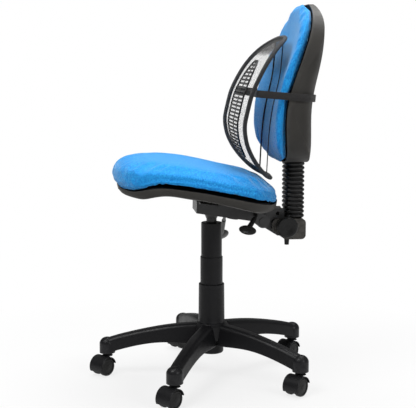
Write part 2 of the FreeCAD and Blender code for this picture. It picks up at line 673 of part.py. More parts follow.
def mech_housing():
    """Pressed steel tub, open at the top, with the tapered socket and the pivot eyes."""
    sides = [(MECH_FRONT, MECH_TOP), (MECH_FRONT + 4, MECH_BOTTOM), (MECH_REAR, MECH_BOTTOM),
             (MECH_REAR, MECH_TOP)]
    tub = side_prism(sides, -MECH_HALF_W, MECH_HALF_W)
    hollow = slab(-MECH_HALF_W + MECH_WALL, MECH_HALF_W - MECH_WALL, MECH_FRONT + 3 * MECH_WALL,
                  MECH_REAR + OPEN_GAP, MECH_BOTTOM + MECH_WALL, MECH_TOP)
    tub = tub.cut(hollow)
    eye_y, eye_z = LEVEL_PIVOT
    for x in (-MECH_HALF_W, MECH_HALF_W - MECH_WALL):
        eye = rod(PIVOT_BOSS_R, Vec(x, eye_y, eye_z), Vec(x + MECH_WALL, eye_y, eye_z))
        web = side_prism([(MECH_REAR - 12, MECH_TOP), (MECH_REAR + 6, MECH_TOP),
                          (eye_y + PIVOT_BOSS_R * 0.9, eye_z + 7), (eye_y - 5, eye_z - PIVOT_BOSS_R * 0.95),
                          (MECH_REAR - 12, MECH_BOTTOM)], x, x + MECH_WALL)
        tub = tub.fuse(eye).fuse(web)
    dome = Part.makeCone(16.0, 20.0, 7.0, Vec(0, 62.0, MECH_BOTTOM - 7.0))
    tub = leaned(tub.fuse(dome).removeSplitter())
    for y in HEIGHT_SHAFT:
        floor_z = lean_point(0, y, MECH_BOTTOM + 1).z
        tub = tub.fuse(slab(HEIGHT_PIVOT.x - EAR_HALF_W, HEIGHT_PIVOT.x + EAR_HALF_W,
                            y - EAR_T / 2, y + EAR_T / 2, floor_z, HEIGHT_PIVOT.z + EAR_HALF_W))
    socket = turned([(0, SOCKET_BOTTOM), (SOCKET_R - 6, SOCKET_BOTTOM), (SOCKET_R, SOCKET_BOTTOM + 14),
                     (SOCKET_R, GAS_TOP - 3), (0, GAS_TOP - 3)])
    housing = tub.fuse(socket).cut(gas_body())
    pivot_reach = MECH_HALF_W + OPEN_GAP
    far_end, near_end = Vec(-pivot_reach, 0, 0), Vec(pivot_reach, 0, 0)
    pivot = Vec(0, PIVOT_Y, PIVOT_Z)
    housing = housing.cut(rod(PIVOT_R, pivot + far_end, pivot + near_end))
    tilt_hole = rod(TILT_SHAFT_R + RUN_FIT, TILT_PIVOT + far_end, TILT_PIVOT + near_end)
    housing = housing.cut(tilt_hole)
    shaft_hole = rod(HEIGHT_SHAFT_R + RUN_FIT, HEIGHT_PIVOT - Vec(0, 20, 0), HEIGHT_PIVOT + Vec(0, 20, 0))
    slot = slab(-MECH_HALF_W - 1, HEIGHT_PIVOT.x - 7, HEIGHT_PIVOT.y - 10, HEIGHT_PIVOT.y + 24,
                MECH_BOTTOM - 20, HEIGHT_PIVOT.z + 4)
    return housing.cut(shaft_hole).cut(slot).removeSplitter()


def seat_plate():
    """Cross plate that closes the tub; its ends carry the four seat screws."""
    outline = []
    inner = MECH_HALF_W + 4
    for x, y in ((-PLATE_HALF_W, PLATE_FRONT), (PLATE_HALF_W, PLATE_FRONT), (PLATE_HALF_W, 0), (inner, 14),
                 (inner, 46), (PLATE_HALF_W, 60), (PLATE_HALF_W, PLATE_REAR), (-PLATE_HALF_W, PLATE_REAR),
                 (-PLATE_HALF_W, 60), (-inner, 46), (-inner, 14), (-PLATE_HALF_W, 0)):
        outline.append((Vec(x, y, MECH_TOP), 5.0))
    plate = Part.Face(rounded_wire(outline)).extrude(Vec(0, 0, PLATE_T))
    for x, y in bolt_places():
        plate = plate.cut(Part.makeCylinder(BOLT_R + SLIDE_FIT, PLATE_T, Vec(x, y, MECH_TOP)))
    return plate


def back_pivot_pin():
    reach = MECH_HALF_W
    pin = rod(PIVOT_R, Vec(-reach, PIVOT_Y, PIVOT_Z), Vec(reach, PIVOT_Y, PIVOT_Z))
    for side in (-1, 1):
        head = rod(PIVOT_R + PIVOT_LIP, Vec(side * reach, PIVOT_Y, PIVOT_Z),
                   Vec(side * (reach + PIVOT_LIP), PIVOT_Y, PIVOT_Z))
        pin = pin.fuse(head)
    return pin.removeSplitter()


# ---- levers ------------------------------------------------------------------------------------
HEIGHT_START = HEIGHT_PIVOT + Vec(-2, 4, -2)
HEIGHT_OUT = Vec(-66.0, 47.0, 440.0)
HEIGHT_NECK = Vec(-112.0, 49.0, 412.0)
HEIGHT_TIP = Vec(-205.0, 54.0, 355.0)
TILT_OUT = Vec(66.0, 112.0, 451.0)
TILT_NECK = Vec(100.0, 101.0, 447.0)
TILT_TIP = Vec(203.0, 67.0, 435.0)


def bent_rod(radius, points):
    shape = rod(radius, points[0], points[1])
    for start, end in zip(points[1:], points[2:]):
        shape = shape.fuse(Part.makeSphere(radius, start)).fuse(rod(radius, start, end))
    return shape


def paddle(root, tip, roll_deg):
    """Oval grip, flat across the lever, with a round neck pushed over the end of its rod."""
    direction = (tip - root).normalize()
    stretch = FreeCAD.Matrix()
    stretch.scale(PADDLE_HALF_L, PADDLE_HALF_W, PADDLE_HALF_T)
    blade = Part.makeSphere(1.0).transformGeometry(stretch)
    blade.rotate(ORIGIN, X_AXIS, roll_deg)
    turn = FreeCAD.Rotation(X_AXIS, direction)
    blade.Placement = FreeCAD.Placement(tip, turn).multiply(blade.Placement)
    rod_end = tip - direction * (PADDLE_HALF_L * 0.6)
    neck = Part.makeCone(NECK_R - 1.0, NECK_R, (rod_end - root).Length + 6, root, direction)
    return blade.fuse(neck).cut(rod(LEVER_R + RUN_FIT, root - direction, rod_end)), rod_end


def height_lever(rod_end):
    """Short shaft in the tub, arm over the release pin, and rod out to the far side."""
    x, y, z = HEIGHT_PIVOT
    over_pin = GAS_TOP + PIN_RISE + 2 * SLIDE_FIT
    shaft = rod(HEIGHT_SHAFT_R, Vec(x, HEIGHT_SHAFT[0] - 2, z), Vec(x, HEIGHT_SHAFT[1] + 2, z))
    lug = slab(x - 6, x + 6, HEIGHT_SHAFT[0] + 2.5, HEIGHT_SHAFT[1] - 2.5, z - 6, z + 6)
    post = slab(x - 6, x + 2, HEIGHT_SHAFT[0] + 2.5, 20.0, z + 4, over_pin + 4)
    arm = slab(x - 6, 6.0, -7.0, 20.0, over_pin, over_pin + 4)
    lever = shaft.fuse(lug).fuse(post).fuse(arm)
    return lever.fuse(bent_rod(LEVER_R, [HEIGHT_START, HEIGHT_OUT, HEIGHT_NECK, rod_end]))


def tilt_lever(rod_end):
    """Clamp shaft across the tub, cranked out to the near side."""
    far_end = TILT_PIVOT - Vec(MECH_HALF_W + 3, 0, 0)
    shaft = rod(TILT_SHAFT_R, far_end, TILT_OUT)
    return shaft.fuse(bent_rod(LEVER_R, [TILT_OUT - Vec(6, 0, 0), TILT_OUT, TILT_NECK, rod_end]))


# ---- back carrier ------------------------------------------------------------------------------
ARM_INNER = BAR_HALF_W
ARM_OUTER = BAR_HALF_W + ARM_T
ARM_OUTLINE = [(118, 438), (146, 463), (194, 463), (197, 434), (238, 434), (238, 396), (178, 388), (138, 413)]
HOUSING_OUTLINE = [(HOUSING_FRONT, HOUSING_TOP), (HOUSING_REAR, HOUSING_TOP),
                   (HOUSING_REAR, HOUSING_BOTTOM), (196, HOUSING_BOTTOM), (HOUSING_FRONT, 404)]
HOUSING_HOLLOW = [(HOUSING_FRONT - 20, HOUSING_TOP - HOUSING_WALL),
                  (HOUSING_REAR - HOUSING_WALL, HOUSING_TOP - HOUSING_WALL),
                  (HOUSING_REAR - HOUSING_WALL, HOUSING_BOTTOM + HOUSING_WALL),
                  (197, HOUSING_BOTTOM + HOUSING_WALL), (HOUSING_FRONT - 20, 424)]


def back_arm():
    """Steel fork: two side plates with pivot eyes, joined by a flat strap on top."""
    plates = []
    for x in (-ARM_OUTER, ARM_INNER):
        plate = side_prism(ARM_OUTLINE, x, x + ARM_T, 4.0)
        eye = rod(PIVOT_BOSS_R - 2, Vec(x, PIVOT_Y, PIVOT_Z), Vec(x + ARM_T, PIVOT_Y, PIVOT_Z))
        window = rod(5.0, Vec(x, 178, 449), Vec(x + ARM_T, 178, 449))
        plates.append(plate.fuse(eye).cut(window))
    strap = slab(-ARM_INNER, ARM_INNER, 150, 190, 463 - ARM_T, 463)
    bushing = rod(PIVOT_R + 4, Vec(-ARM_INNER, PIVOT_Y, PIVOT_Z), Vec(ARM_INNER, PIVOT_Y, PIVOT_Z))
    arm = plates[0].fuse(plates[1]).fuse(strap).fuse(bushing)
    bore = rod(PIVOT_R + RUN_FIT, Vec(-ARM_OUTER, PIVOT_Y, PIVOT_Z), Vec(ARM_OUTER, PIVOT_Y, PIVOT_Z))
    return arm.cut(bore).removeSplitter()


def upright_bar():
    bar = slab(-BAR_HALF_W, BAR_HALF_W, BAR_Y - BAR_T / 2, BAR_Y + BAR_T / 2, BAR_BOTTOM, BAR_TOP)
    for k in range(6):
        z = SLIDER_BOTTOM + 10 + 15 * k
        bar = bar.cut(rod(4.0, Vec(0, BAR_Y - BAR_T, z), Vec(0, BAR_Y + BAR_T, z)))
    return bar


def bracket_housing():
    """Plastic cover round the foot of the upright bar, open towards the seat."""
    outer = side_prism(HOUSING_OUTLINE, -HOUSING_HALF_W, HOUSING_HALF_W, 12.0)
    inner_w = HOUSING_HALF_W - HOUSING_WALL
    cover = outer.cut(side_prism(HOUSING_HOLLOW, -inner_w, inner_w, 8.0))
    for side in (-1, 1):
        boss = rod(9.0, Vec(side * ARM_OUTER, HANDWHEEL_Y, HANDWHEEL_Z - 5),
                   Vec(side * (inner_w + 1), HANDWHEEL_Y, HANDWHEEL_Z - 5))
        cover = cover.fuse(boss)
    reach = ARM_OUTER + OPEN_GAP
    cover = cover.cut(slab(-reach, reach, *HOUSING_MOUTH, HOUSING_TOP - 2 * HOUSING_WALL, HOUSING_TOP))
    cover = cover.cut(slab(-reach, reach, HOUSING_MOUTH[0], HOUSING_FRONT + 30, BAR_BOTTOM - 16, HOUSING_TOP))
    shaft = rod(HANDWHEEL_SHAFT_R + RUN_FIT, Vec(ARM_OUTER, HANDWHEEL_Y, HANDWHEEL_Z - 5),
                Vec(HOUSING_HALF_W, HANDWHEEL_Y, HANDWHEEL_Z - 5))
    screw = Part.makeCylinder(CLAMP_R - 2.5, 12, Vec(0, HANDWHEEL_Y + 10, 376))
    return cover.cut(shaft).cut(screw).removeSplitter()


def hand_wheel():
    """Round clamping wheel on a short shaft, with a fluted rim and a dished face."""
    face_x = HOUSING_HALF_W + 10.0
    wheel = turned([(0, 0), (HANDWHEEL_R - 3, 0), (HANDWHEEL_R, 3), (HANDWHEEL_R, HANDWHEEL_T - 4),
                    (HANDWHEEL_R - 4, HANDWHEEL_T), (HANDWHEEL_R - 8, HANDWHEEL_T), (8, HANDWHEEL_T - 2.5),
                    (0, HANDWHEEL_T - 2.5)])
    flutes = 18
    for k in range(flutes):
        turn = 2 * math.pi * k / flutes
        centre = Vec((HANDWHEEL_R + 1.2) * math.cos(turn), (HANDWHEEL_R + 1.2) * math.sin(turn), 0)
        wheel = wheel.cut(Part.makeCylinder(2.2, HANDWHEEL_T, centre))
    hub_reach = face_x - HOUSING_HALF_W - SLIDE_FIT
    hub = Part.makeCylinder(HANDWHEEL_HUB_R, hub_reach, Vec(0, 0, -hub_reach))
    shaft_x = ARM_OUTER + SLIDE_FIT
    shaft = Part.makeCylinder(HANDWHEEL_SHAFT_R, face_x - shaft_x, Vec(0, 0, shaft_x - face_x))
    wheel = wheel.fuse(hub).fuse(shaft)
    wheel.rotate(ORIGIN, Y_AXIS, 90)
    wheel.translate(Vec(face_x, HANDWHEEL_Y, HANDWHEEL_Z - 5))
    return wheel.removeSplitter()


def clamp_screw():
    y = HANDWHEEL_Y + 10
    shank = Part.makeCylinder(CLAMP_R - 2.5, 392 - CLAMP_BOTTOM, Vec(0, y, CLAMP_BOTTOM))
    knob = Part.makeCone(CLAMP_R - 0.5, CLAMP_R + 1, 380 - CLAMP_BOTTOM, Vec(0, y, CLAMP_BOTTOM))
    return shank.fuse(knob).removeSplitter()


def rounded_rectangle(half_x, half_y, centre_y, z, radius):
    corners = [(Vec(sx * half_x, centre_y + sy * half_y, z), radius)
               for sx, sy in ((-1, -1), (1, -1), (1, 1), (-1, 1))]
    return rounded_wire(corners)


def bellows():
    """Rubber sleeve round the upright bar: ridges and valleys, hollow inside."""
    bottom = HOUSING_TOP + SLIDE_FIT
    top = BACK_BOTTOM - SLIDE_FIT
    pitch = (top - bottom) / BELLOWS_FOLDS
    wires = []
    for k in range(2 * BELLOWS_FOLDS + 1):
        depth = BELLOWS_FOLD_DEPTH if k % 2 == 0 else 0.0
        wires.append(rounded_rectangle(BELLOWS_HALF_X - depth, BELLOWS_HALF_Y - depth, BAR_Y + 1,
                                       bottom + k * pitch / 2, 16.0 - depth))
    outer = Part.makeLoft(wires, True, True)
    inset = BELLOWS_FOLD_DEPTH + BELLOWS_WALL
    hollow = Part.Face(rounded_rectangle(BELLOWS_HALF_X - inset, BELLOWS_HALF_Y - inset,
                                         BAR_Y + 1, bottom, 8.0))
    return outer.cut(hollow.extrude(Vec(0, 0, top - bottom)))


# ---- backrest ----------------------------------------------------------------------------------
def dish(x, z):
    """How far the back is hollowed rearwards, most in the middle and nothing at its edge."""
    edge = max(1.0, back_half_width(z) - BACK_FLAT_EDGE)
    middle = (BACK_FRONT[0][0] + BACK_FRONT[-1][0]) / 2
    half_h = BACK_FRONT[-1][0] - middle - BACK_FLAT_EDGE
    across = max(0.0, 1 - (x / edge) ** 2)
    return BACK_DISH * across * max(0.0, 1 - ((z - middle) / half_h) ** 2)


def back_cushion():
    wires = []
    for z in lengthwise(BACK_FRONT[0][0], BACK_FRONT[-1][0], 19):
        front = smooth_at(BACK_FRONT, z) - BACK_SIDE_ROLL
        rear = smooth_at(BACK_RIM, z) - 1.3 * SOFT_GAP
        points = ring_points(back_half_width(z), front, rear, 3.2, 5.0,
                             lambda x, y: Vec(x, y + dish(x, z), z))
        wires.append(closed_spline(points))
    return Part.makeLoft(wires, True, False)


def back_bowl(inset):
    """Solid between the rim and the rear of the shell, drawn in by inset."""
    bottom, top = BACK_BOTTOM + inset, BACK_REAR[-1][0] - inset
    wires = []
    for k in range(9):
        z = bottom + (top - bottom) * k / 8
        rim = smooth_at(BACK_RIM, z) - (1.0 if inset else 0.0)
        rear = smooth_at(BACK_REAR, z) - inset
        half_w = BACK_HALF_W - BACK_SHELL_INSET - inset
        wires.append(bowl_wire(half_w, rim, rear, 3.0, lambda x, y: Vec(x, y, z), 16))
    drawn_in = BACK_SHELL_INSET + inset
    stations = lengthwise(BACK_FRONT[0][0] + drawn_in, BACK_FRONT[-1][0] - drawn_in, 21, 0.9999)
    near_side = [Vec(back_half_width(z, drawn_in), 0, z) for z in stations]
    far_side = [Vec(-p.x, 0, p.z) for p in near_side[::-1]]
    outline = Part.Face(closed_spline(near_side + far_side))
    return Part.makeLoft(wires, True, False).common(outline.extrude(Vec(0, 2 * BACK_HALF_W, 0)))


def back_board():
    """Moulded plywood, hollowed across its width and bent along its height."""
    wires = []
    for z in lengthwise(BACK_BOTTOM + 16, BACK_REAR[-1][0] - 18, 11, 1.0):
        half_w = back_half_width(z, BACK_SHELL_INSET) - BOARD_INSET
        front = smooth_at(BACK_RIM, z) + SLIDE_FIT
        corners = []
        for y in (front, front + BACK_BOARD_T):
            edge, middle = dish(half_w, z), dish(0, z)
            corners.append((Vec(-half_w, y + edge, z), Vec(0, y + middle, z), Vec(half_w, y + edge, z)))
        near, far = corners
        edges = [Part.Arc(*near).toShape(), Part.LineSegment(near[2], far[2]).toShape(),
                 Part.Arc(*far[::-1]).toShape(), Part.LineSegment(far[0], near[0]).toShape()]
        wires.append(Part.Wire(edges))
    return Part.makeLoft(wires, True, False)


def back_shell(board):
    """Deep thin bowl with four bosses that reach the board, open at the foot for the upright bar."""
    outer = back_bowl(0.0)
    shell = outer.cut(back_bowl(SHELL_WALL))
    board = board.copy()
    board.translate(Vec(0, SLIDE_FIT, 0))
    for x, z in BACK_BOSSES:
        boss = rod(9.0, Vec(x, 150, z), Vec(x, 330, z)).common(outer).cut(board)
        shell = shell.fuse(max(boss.Solids, key=lambda solid: solid.CenterOfMass.y))
    foot = slab(-BAR_HALF_W - 4, BAR_HALF_W + 4, BAR_Y - 9, BAR_Y + 9,
                BACK_BOTTOM - 2, BACK_BOTTOM + 2 * SHELL_WALL)
    return shell.cut(foot)


def height_slider(board):
    """Plastic runner on the back of the board that slides on the upright bar."""
    block = slab(-SLIDER_HALF_W, SLIDER_HALF_W, 170, BAR_Y + BAR_T / 2 + 7, SLIDER_BOTTOM, SLIDER_TOP)
    seat_face = board.copy()
    seat_face.translate(Vec(0, SLIDE_FIT, 0))
    block = max(block.cut(seat_face).Solids, key=lambda solid: solid.CenterOfMass.y)
    slot = slab(-BAR_HALF_W - SLIDE_FIT, BAR_HALF_W + SLIDE_FIT, BAR_Y - BAR_T / 2 - SLIDE_FIT,
                BAR_Y + BAR_T / 2 + SLIDE_FIT, SLIDER_BOTTOM, SLIDER_TOP)
    block = block.cut(slot)
    for x, z in BACK_SCREWS:
        block = block.cut(rod(BACK_SCREW_R, Vec(x, 150, z), Vec(x, BACK_SCREW_END, z)))
    return block


def back_screws():
    screws = []
    for x, z in BACK_SCREWS:
        start = smooth_at(BACK_RIM, z) + dish(x, z) + 3.0
        screws.append(rod(BACK_SCREW_R, Vec(x, start, z), Vec(x, BACK_SCREW_END, z)))
    return Part.makeCompound(screws)


# ---- lumbar support ----------------------------------------------------------------------------
def soft_path(points, closed):
    """Straight runs joined by arcs as large as the runs allow."""
    count = len(points)
    joints = []
    for k in range(count):
        if not closed and k in (0, count - 1):
            joints.append((points[k], None, points[k]))
            continue
        corner, back, ahead = points[k], points[k - 1] - points[k], points[(k + 1) % count] - points[k]
        reach = 0.45 * min(back.Length, ahead.Length)
        back.normalize()
        ahead.normalize()
        half_angle = back.getAngle(ahead) / 2
        radius = reach * math.tan(half_angle)
        middle = corner + (back + ahead).normalize() * (radius / math.sin(half_angle) - radius)
        joints.append((corner + back * reach, middle, corner + ahead * reach))
    edges = []
    for k, (start, middle, end) in enumerate(joints):
        if middle is not None:
            edges.append(Part.Arc(start, middle, end).toShape())
        if closed or k < count - 1:
            edges.append(Part.LineSegment(end, joints[(k + 1) % count][0]).toShape())
    return Part.Wire(edges)


def pipe(radius, path):
    start = path.Edges[0].firstVertex().Point
    direction = path.Edges[0].tangentAt(path.Edges[0].FirstParameter)
    ring = Part.Wire([Part.makeCircle(radius, start, direction)])
    return path.makePipeShell([ring], True, False)


def bow_at(z):
    return smooth_at(LUMBAR_BOW, z)


def lumbar_outline(inset, count):
    """Points (x, z) round the frame: straight-sided with large round corners."""
    middle, half_h = (LUMBAR_TOP + LUMBAR_BOTTOM) / 2, (LUMBAR_TOP - LUMBAR_BOTTOM) / 2
    points = []
    for k in range(count):
        turn = 2 * math.pi * (k + 0.5) / count
        x = (LUMBAR_HALF_W - inset) * signed_power(math.cos(turn), 2 / LUMBAR_POWER)
        z = middle + (half_h - inset) * signed_power(math.sin(turn), 2 / LUMBAR_POWER)
        points.append((x, z))
    return points


def lumbar_frame():
    points = [Vec(x, bow_at(z), z) for x, z in lumbar_outline(0.0, 30)]
    return pipe(LUMBAR_PIPE_R, soft_path(points, True))


def bowed_sheet(near, far, bottom, top):
    """Sheet that follows the bow, between two offsets from it, as wide as the frame."""
    stations = [bottom + (top - bottom) * k / 16 for k in range(17)]
    front = [Vec(-LUMBAR_HALF_W, bow_at(z) + near, z) for z in stations]
    rear = [Vec(-LUMBAR_HALF_W, bow_at(z) + far, z) for z in stations[::-1]]
    edges = [open_spline(front), Part.LineSegment(front[-1], rear[0]).toShape(),
             open_spline(rear), Part.LineSegment(rear[-1], front[0]).toShape()]
    return Part.Face(Part.Wire(edges)).extrude(Vec(2 * LUMBAR_HALF_W, 0, 0))


def lumbar_mesh():
    inset = LUMBAR_PIPE_R + 2 * SOFT_GAP
    sheet = bowed_sheet(-MESH_T / 2, MESH_T / 2, LUMBAR_BOTTOM, LUMBAR_TOP)
    outline = Part.Face(closed_spline([Vec(x, 0, z) for x, z in lumbar_outline(inset, 40)]))
    return sheet.common(outline.extrude(Vec(0, SEAT_HALF_W, 0)))


def bead_half_width(z):
    u = min(1.0, abs(2 * (z - BEAD_BOTTOM) / (BEAD_TOP - BEAD_BOTTOM) - 1))
    return BEAD_HALF_W * (1 - u**2.2) ** 0.5


def lumbar_beads():
    """Springy panel of cross slats in front of the mesh."""
    far = -MESH_T / 2 - 0.3
    sheet = bowed_sheet(far - BEAD_T, far, BEAD_BOTTOM - 5, BEAD_TOP + 5)
    middle, half_h = (BEAD_TOP + BEAD_BOTTOM) / 2, (BEAD_TOP - BEAD_BOTTOM) / 2
    points = []
    for k in range(40):
        turn = 2 * math.pi * (k + 0.5) / 40
        z = middle + half_h * math.sin(turn)
        points.append(Vec(math.copysign(bead_half_width(z), math.cos(turn)), 0, z))
    panel = sheet.common(Part.Face(closed_spline(points)).extrude(Vec(0, SEAT_HALF_W, 0)))
    slots = []
    for k in range(1, BEAD_ROWS):
        z = BEAD_BOTTOM + (BEAD_TOP - BEAD_BOTTOM) * k / BEAD_ROWS
        half = bead_half_width(z) - 12
        if half > 14:
            for side in (-1, 1):
                x0, x1 = sorted((side * 4.0, side * half))
                slots.append(slab(x0, x1, 0, SEAT_HALF_W, z - 2.0, z + 2.0))
    return panel.cut(Part.makeCompound(slots))


def lumbar_cords():
    """Two elastic cords from the top of the frame over the front of the cushion to its foot."""
    cords = []
    half_h = (LUMBAR_TOP - LUMBAR_BOTTOM) / 2
    rise = half_h * (1 - (CORD_X / LUMBAR_HALF_W) ** LUMBAR_POWER) ** (1 / LUMBAR_POWER)
    middle = (LUMBAR_TOP + LUMBAR_BOTTOM) / 2
    top = middle + rise - LUMBAR_PIPE_R - CORD_R
    foot = middle - rise + LUMBAR_PIPE_R + CORD_R
    for side in (-1, 1):
        x = side * CORD_X
        behind_mesh = MESH_T + CORD_R + SOFT_GAP
        points = [Vec(x, bow_at(top) + behind_mesh, top)]
        for z in (815.0, 760.0, 705.0, 655.0):
            front = smooth_at(BACK_FRONT, z) - BACK_SIDE_ROLL + dish(x, z)
            points.append(Vec(x, front - CORD_R - SOFT_GAP - 1.0, z))
        points.append(Vec(x, bow_at(foot) + behind_mesh, foot))
        cords.append(pipe(CORD_R, soft_path(points, False)))
    return Part.makeCompound(cords)


def strap_wire(grow):
    """Plan of the strap: straight across behind the frame, then round the back of the shell."""
    z = STRAP_Z - 14
    rim, rear = smooth_at(BACK_RIM, z), smooth_at(BACK_REAR, z)
    half_w = BACK_HALF_W + STRAP_GAP + grow
    reach = rear - rim + STRAP_GAP + grow
    round_back = []
    for k in range(25):
        turn = math.pi * k / 24
        y = rim + reach * math.sin(turn) ** (2 / 3.4)
        round_back.append(Vec(half_w * signed_power(math.cos(turn), 2 / 3.4), y, STRAP_Z))
    front_y = bow_at(STRAP_Z + STRAP_H / 2) + 1.15 * LUMBAR_PIPE_R + SOFT_GAP + STRAP_T - grow
    front = [Vec(-LUMBAR_HALF_W - grow, front_y, STRAP_Z), Vec(LUMBAR_HALF_W + grow, front_y, STRAP_Z)]
    stops = [round_back[-1]] + front + [round_back[0]]
    edges = [open_spline(round_back)]
    edges += [Part.LineSegment(a, b).toShape() for a, b in zip(stops, stops[1:])]
    return Part.Wire(edges)


def lumbar_strap():
    band = Part.Face(strap_wire(STRAP_T)).extrude(Vec(0, 0, STRAP_H))
    band = band.cut(Part.Face(strap_wire(0.0)).extrude(Vec(0, 0, STRAP_H)))
    band.translate(Vec(0, 0, -STRAP_H / 2))
    band.rotate(Vec(0, bow_at(STRAP_Z), STRAP_Z), X_AXIS, -STRAP_LEAN_DEG)
    return band


# ---- the whole chair ---------------------------------------------------------------------------
def add_base(parts):
    parts["star_base"] = star_base()
    parts["caster_stems"] = Part.makeCompound([caster_stem(place) for place in stem_places()])
    hood = caster_hood()
    axle = caster_axle()
    wheels = {"left": caster_wheel(1), "right": caster_wheel(-1)}
    for k, place in enumerate(stem_places(), start=1):
        parts["caster_%d_hood" % k] = placed_on_caster(hood, place)
        parts["caster_%d_axle" % k] = placed_on_caster(axle, place)
        for side, wheel in wheels.items():
            parts["caster_%d_wheel_%s" % (k, side)] = placed_on_caster(wheel, place)


def add_column(parts):
    parts["column_tube"] = column_tube()
    parts["guide_bush"] = tube(TUBE_R - TUBE_WALL, GAS_R + RUN_FIT, BUSH_BOTTOM, TUBE_TOP)
    parts["thrust_bearing"] = tube(BEARING_R, ROD_R + OPEN_GAP, BEARING_BOTTOM, ROD_FLANGE_BOTTOM)
    parts["piston_rod"] = piston_rod()
    parts["gas_cylinder"] = gas_cylinder()
    parts["release_pin"] = release_pin()
    parts["cover_lower"] = cover_lower()
    parts["cover_middle"] = cover_middle()
    parts["cover_upper"] = cover_upper()


def add_seat(parts):
    parts["mech_housing"] = mech_housing()
    parts["seat_plate"] = leaned(seat_plate())
    parts["back_pivot_pin"] = back_pivot_pin()
    height_grip, height_end = paddle(HEIGHT_NECK, HEIGHT_TIP, 0.0)
    parts["height_lever"] = height_lever(height_end)
    parts["height_paddle"] = height_grip
    tilt_grip, tilt_end = paddle(TILT_NECK, TILT_TIP, -12.0)
    parts["tilt_lever"] = tilt_lever(tilt_end)
    parts["tilt_paddle"] = tilt_grip
    parts["seat_board"] = leaned(seat_board())
    parts["seat_shell"] = leaned(seat_shell())
    parts["seat_cushion"] = leaned(seat_cushion())
    parts["seat_screws"] = leaned(seat_screws())


def add_back(parts):
    parts["back_arm"] = back_arm()
    parts["upright_bar"] = upright_bar()
    parts["bracket_housing"] = bracket_housing()
    parts["hand_wheel"] = hand_wheel()
    parts["clamp_screw"] = clamp_screw()
    parts["bellows"] = bellows()
    board = back_board()
    parts["height_slider"] = height_slider(board)
    screws = back_screws()
    parts["back_screws"] = screws
    parts["back_board"] = board.cut(screws)
    parts["back_shell"] = back_shell(board)
    parts["back_cushion"] = back_cushion()


def add_lumbar(parts):
    parts["lumbar_frame"] = lumbar_frame()
    parts["lumbar_mesh"] = lumbar_mesh()
    parts["lumbar_beads"] = lumbar_beads()
    parts["lumbar_cords"] = lumbar_cords()
    parts["lumbar_strap"] = lumbar_strap()


def build_parts():
    parts = {}
    for add in (add_base, add_column, add_seat, add_back, add_lumbar):
        add(parts)
    return parts


os.makedirs("parts", exist_ok=True)
for name, shape in build_parts().items():
    shape.exportStep("parts/%s.step" % name)
    print("%-22s solids %d  volume %9.0f  valid %s"
          % (name, len(shape.Solids), shape.Volume, shape.isValid()))
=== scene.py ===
import math

import bmesh
import bpy
import numpy as np
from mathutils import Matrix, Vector, noise
from mathutils.bvhtree import BVHTree


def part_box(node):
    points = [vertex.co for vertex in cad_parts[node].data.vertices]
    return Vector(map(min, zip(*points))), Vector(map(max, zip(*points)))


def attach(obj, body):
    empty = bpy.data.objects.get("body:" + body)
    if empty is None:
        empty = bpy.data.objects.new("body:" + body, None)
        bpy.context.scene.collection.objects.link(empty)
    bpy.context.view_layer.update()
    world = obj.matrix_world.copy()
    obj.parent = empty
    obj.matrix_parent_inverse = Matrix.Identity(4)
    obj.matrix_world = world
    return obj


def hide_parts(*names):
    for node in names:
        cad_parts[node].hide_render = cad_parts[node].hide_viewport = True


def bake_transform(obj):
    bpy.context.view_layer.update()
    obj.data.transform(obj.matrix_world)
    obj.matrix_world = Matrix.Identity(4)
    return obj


# Looks of the swivel office chair, in metres, in the row frame: +Z up, the chair faces -Y.
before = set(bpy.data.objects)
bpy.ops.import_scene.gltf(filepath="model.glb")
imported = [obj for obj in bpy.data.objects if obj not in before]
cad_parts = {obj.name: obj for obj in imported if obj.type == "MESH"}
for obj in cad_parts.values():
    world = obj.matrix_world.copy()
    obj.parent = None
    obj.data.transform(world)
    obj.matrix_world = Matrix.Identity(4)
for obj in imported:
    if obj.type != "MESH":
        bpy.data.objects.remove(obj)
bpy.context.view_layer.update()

# ---- named sizes -------------------------------------------------------------------------------
VOXEL = 0.0055            # remesh size of the padded pieces
SWELL_CAP = 0.006         # furthest that the cloth simulation may move a point
SHRINK = 0.0055           # free cover starts this far inside its CAD solid, before it swells
CLOTH_FRAMES = 20
CLOTH_PRESSURE = 4.0
FOLDS = 13                # folds of the bellows
FOLD_DEPTH = 0.0062
FOLD_STEPS = 10           # rings of points in one fold
BELLOWS_AROUND = 72
BELLOWS_WALL = 0.0018
BELLOWS_POWER = 3.6       # roundness of the bellows' outline
PIPE_R = 0.0055           # radius of the lumbar frame's pipe
FRAME_POWER = 2.9         # roundness of the lumbar frame's outline
BEAD_ROWS = 27
CORD_R_FAR = 0.0021
CORD_R_NEAR = 0.0014
STRAP_T = 0.0014
STRAP_H = 0.019
BEAD_OFFSET = -0.0035     # the bead panel lies this far in front of the net
BEAD_R = 0.0020           # thin and extra thickness of a beaded bar
BEAD_SWELL = 0.0009
BEAD_PITCH = 0.0105
STITCH_R = 0.00035
HELD_SEAT = 0.018         # cover closer than this to the shell or board is held by it
HELD_BACK = 0.016
UNEVEN_DEPTH = 0.0012
UNEVEN_SIZE = 0.06
CREASE_DEPTH = 0.0022
CREASE_HALF_W = 0.009
STRAP_LEAN = math.radians(-5.0)

CAMERA_AZIMUTH = math.radians(83.0)
CAMERA_RADIUS = 2.75
CAMERA_HEIGHT = 0.86
CAMERA_PITCH = math.radians(7.98)
CAMERA_PAN = math.radians(0.2)
CAMERA_LENS = 88.7


# ---- reading the CAD model ---------------------------------------------------------------------
def tree_of(node):
    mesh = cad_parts[node].data
    faces = [tuple(p.vertices) for p in mesh.polygons]
    return BVHTree.FromPolygons([v.co for v in mesh.vertices], faces)


def first_hit(tree, start, direction, reach=3.0):
    return tree.ray_cast(Vector(start), Vector(direction).normalized(), reach)[0]


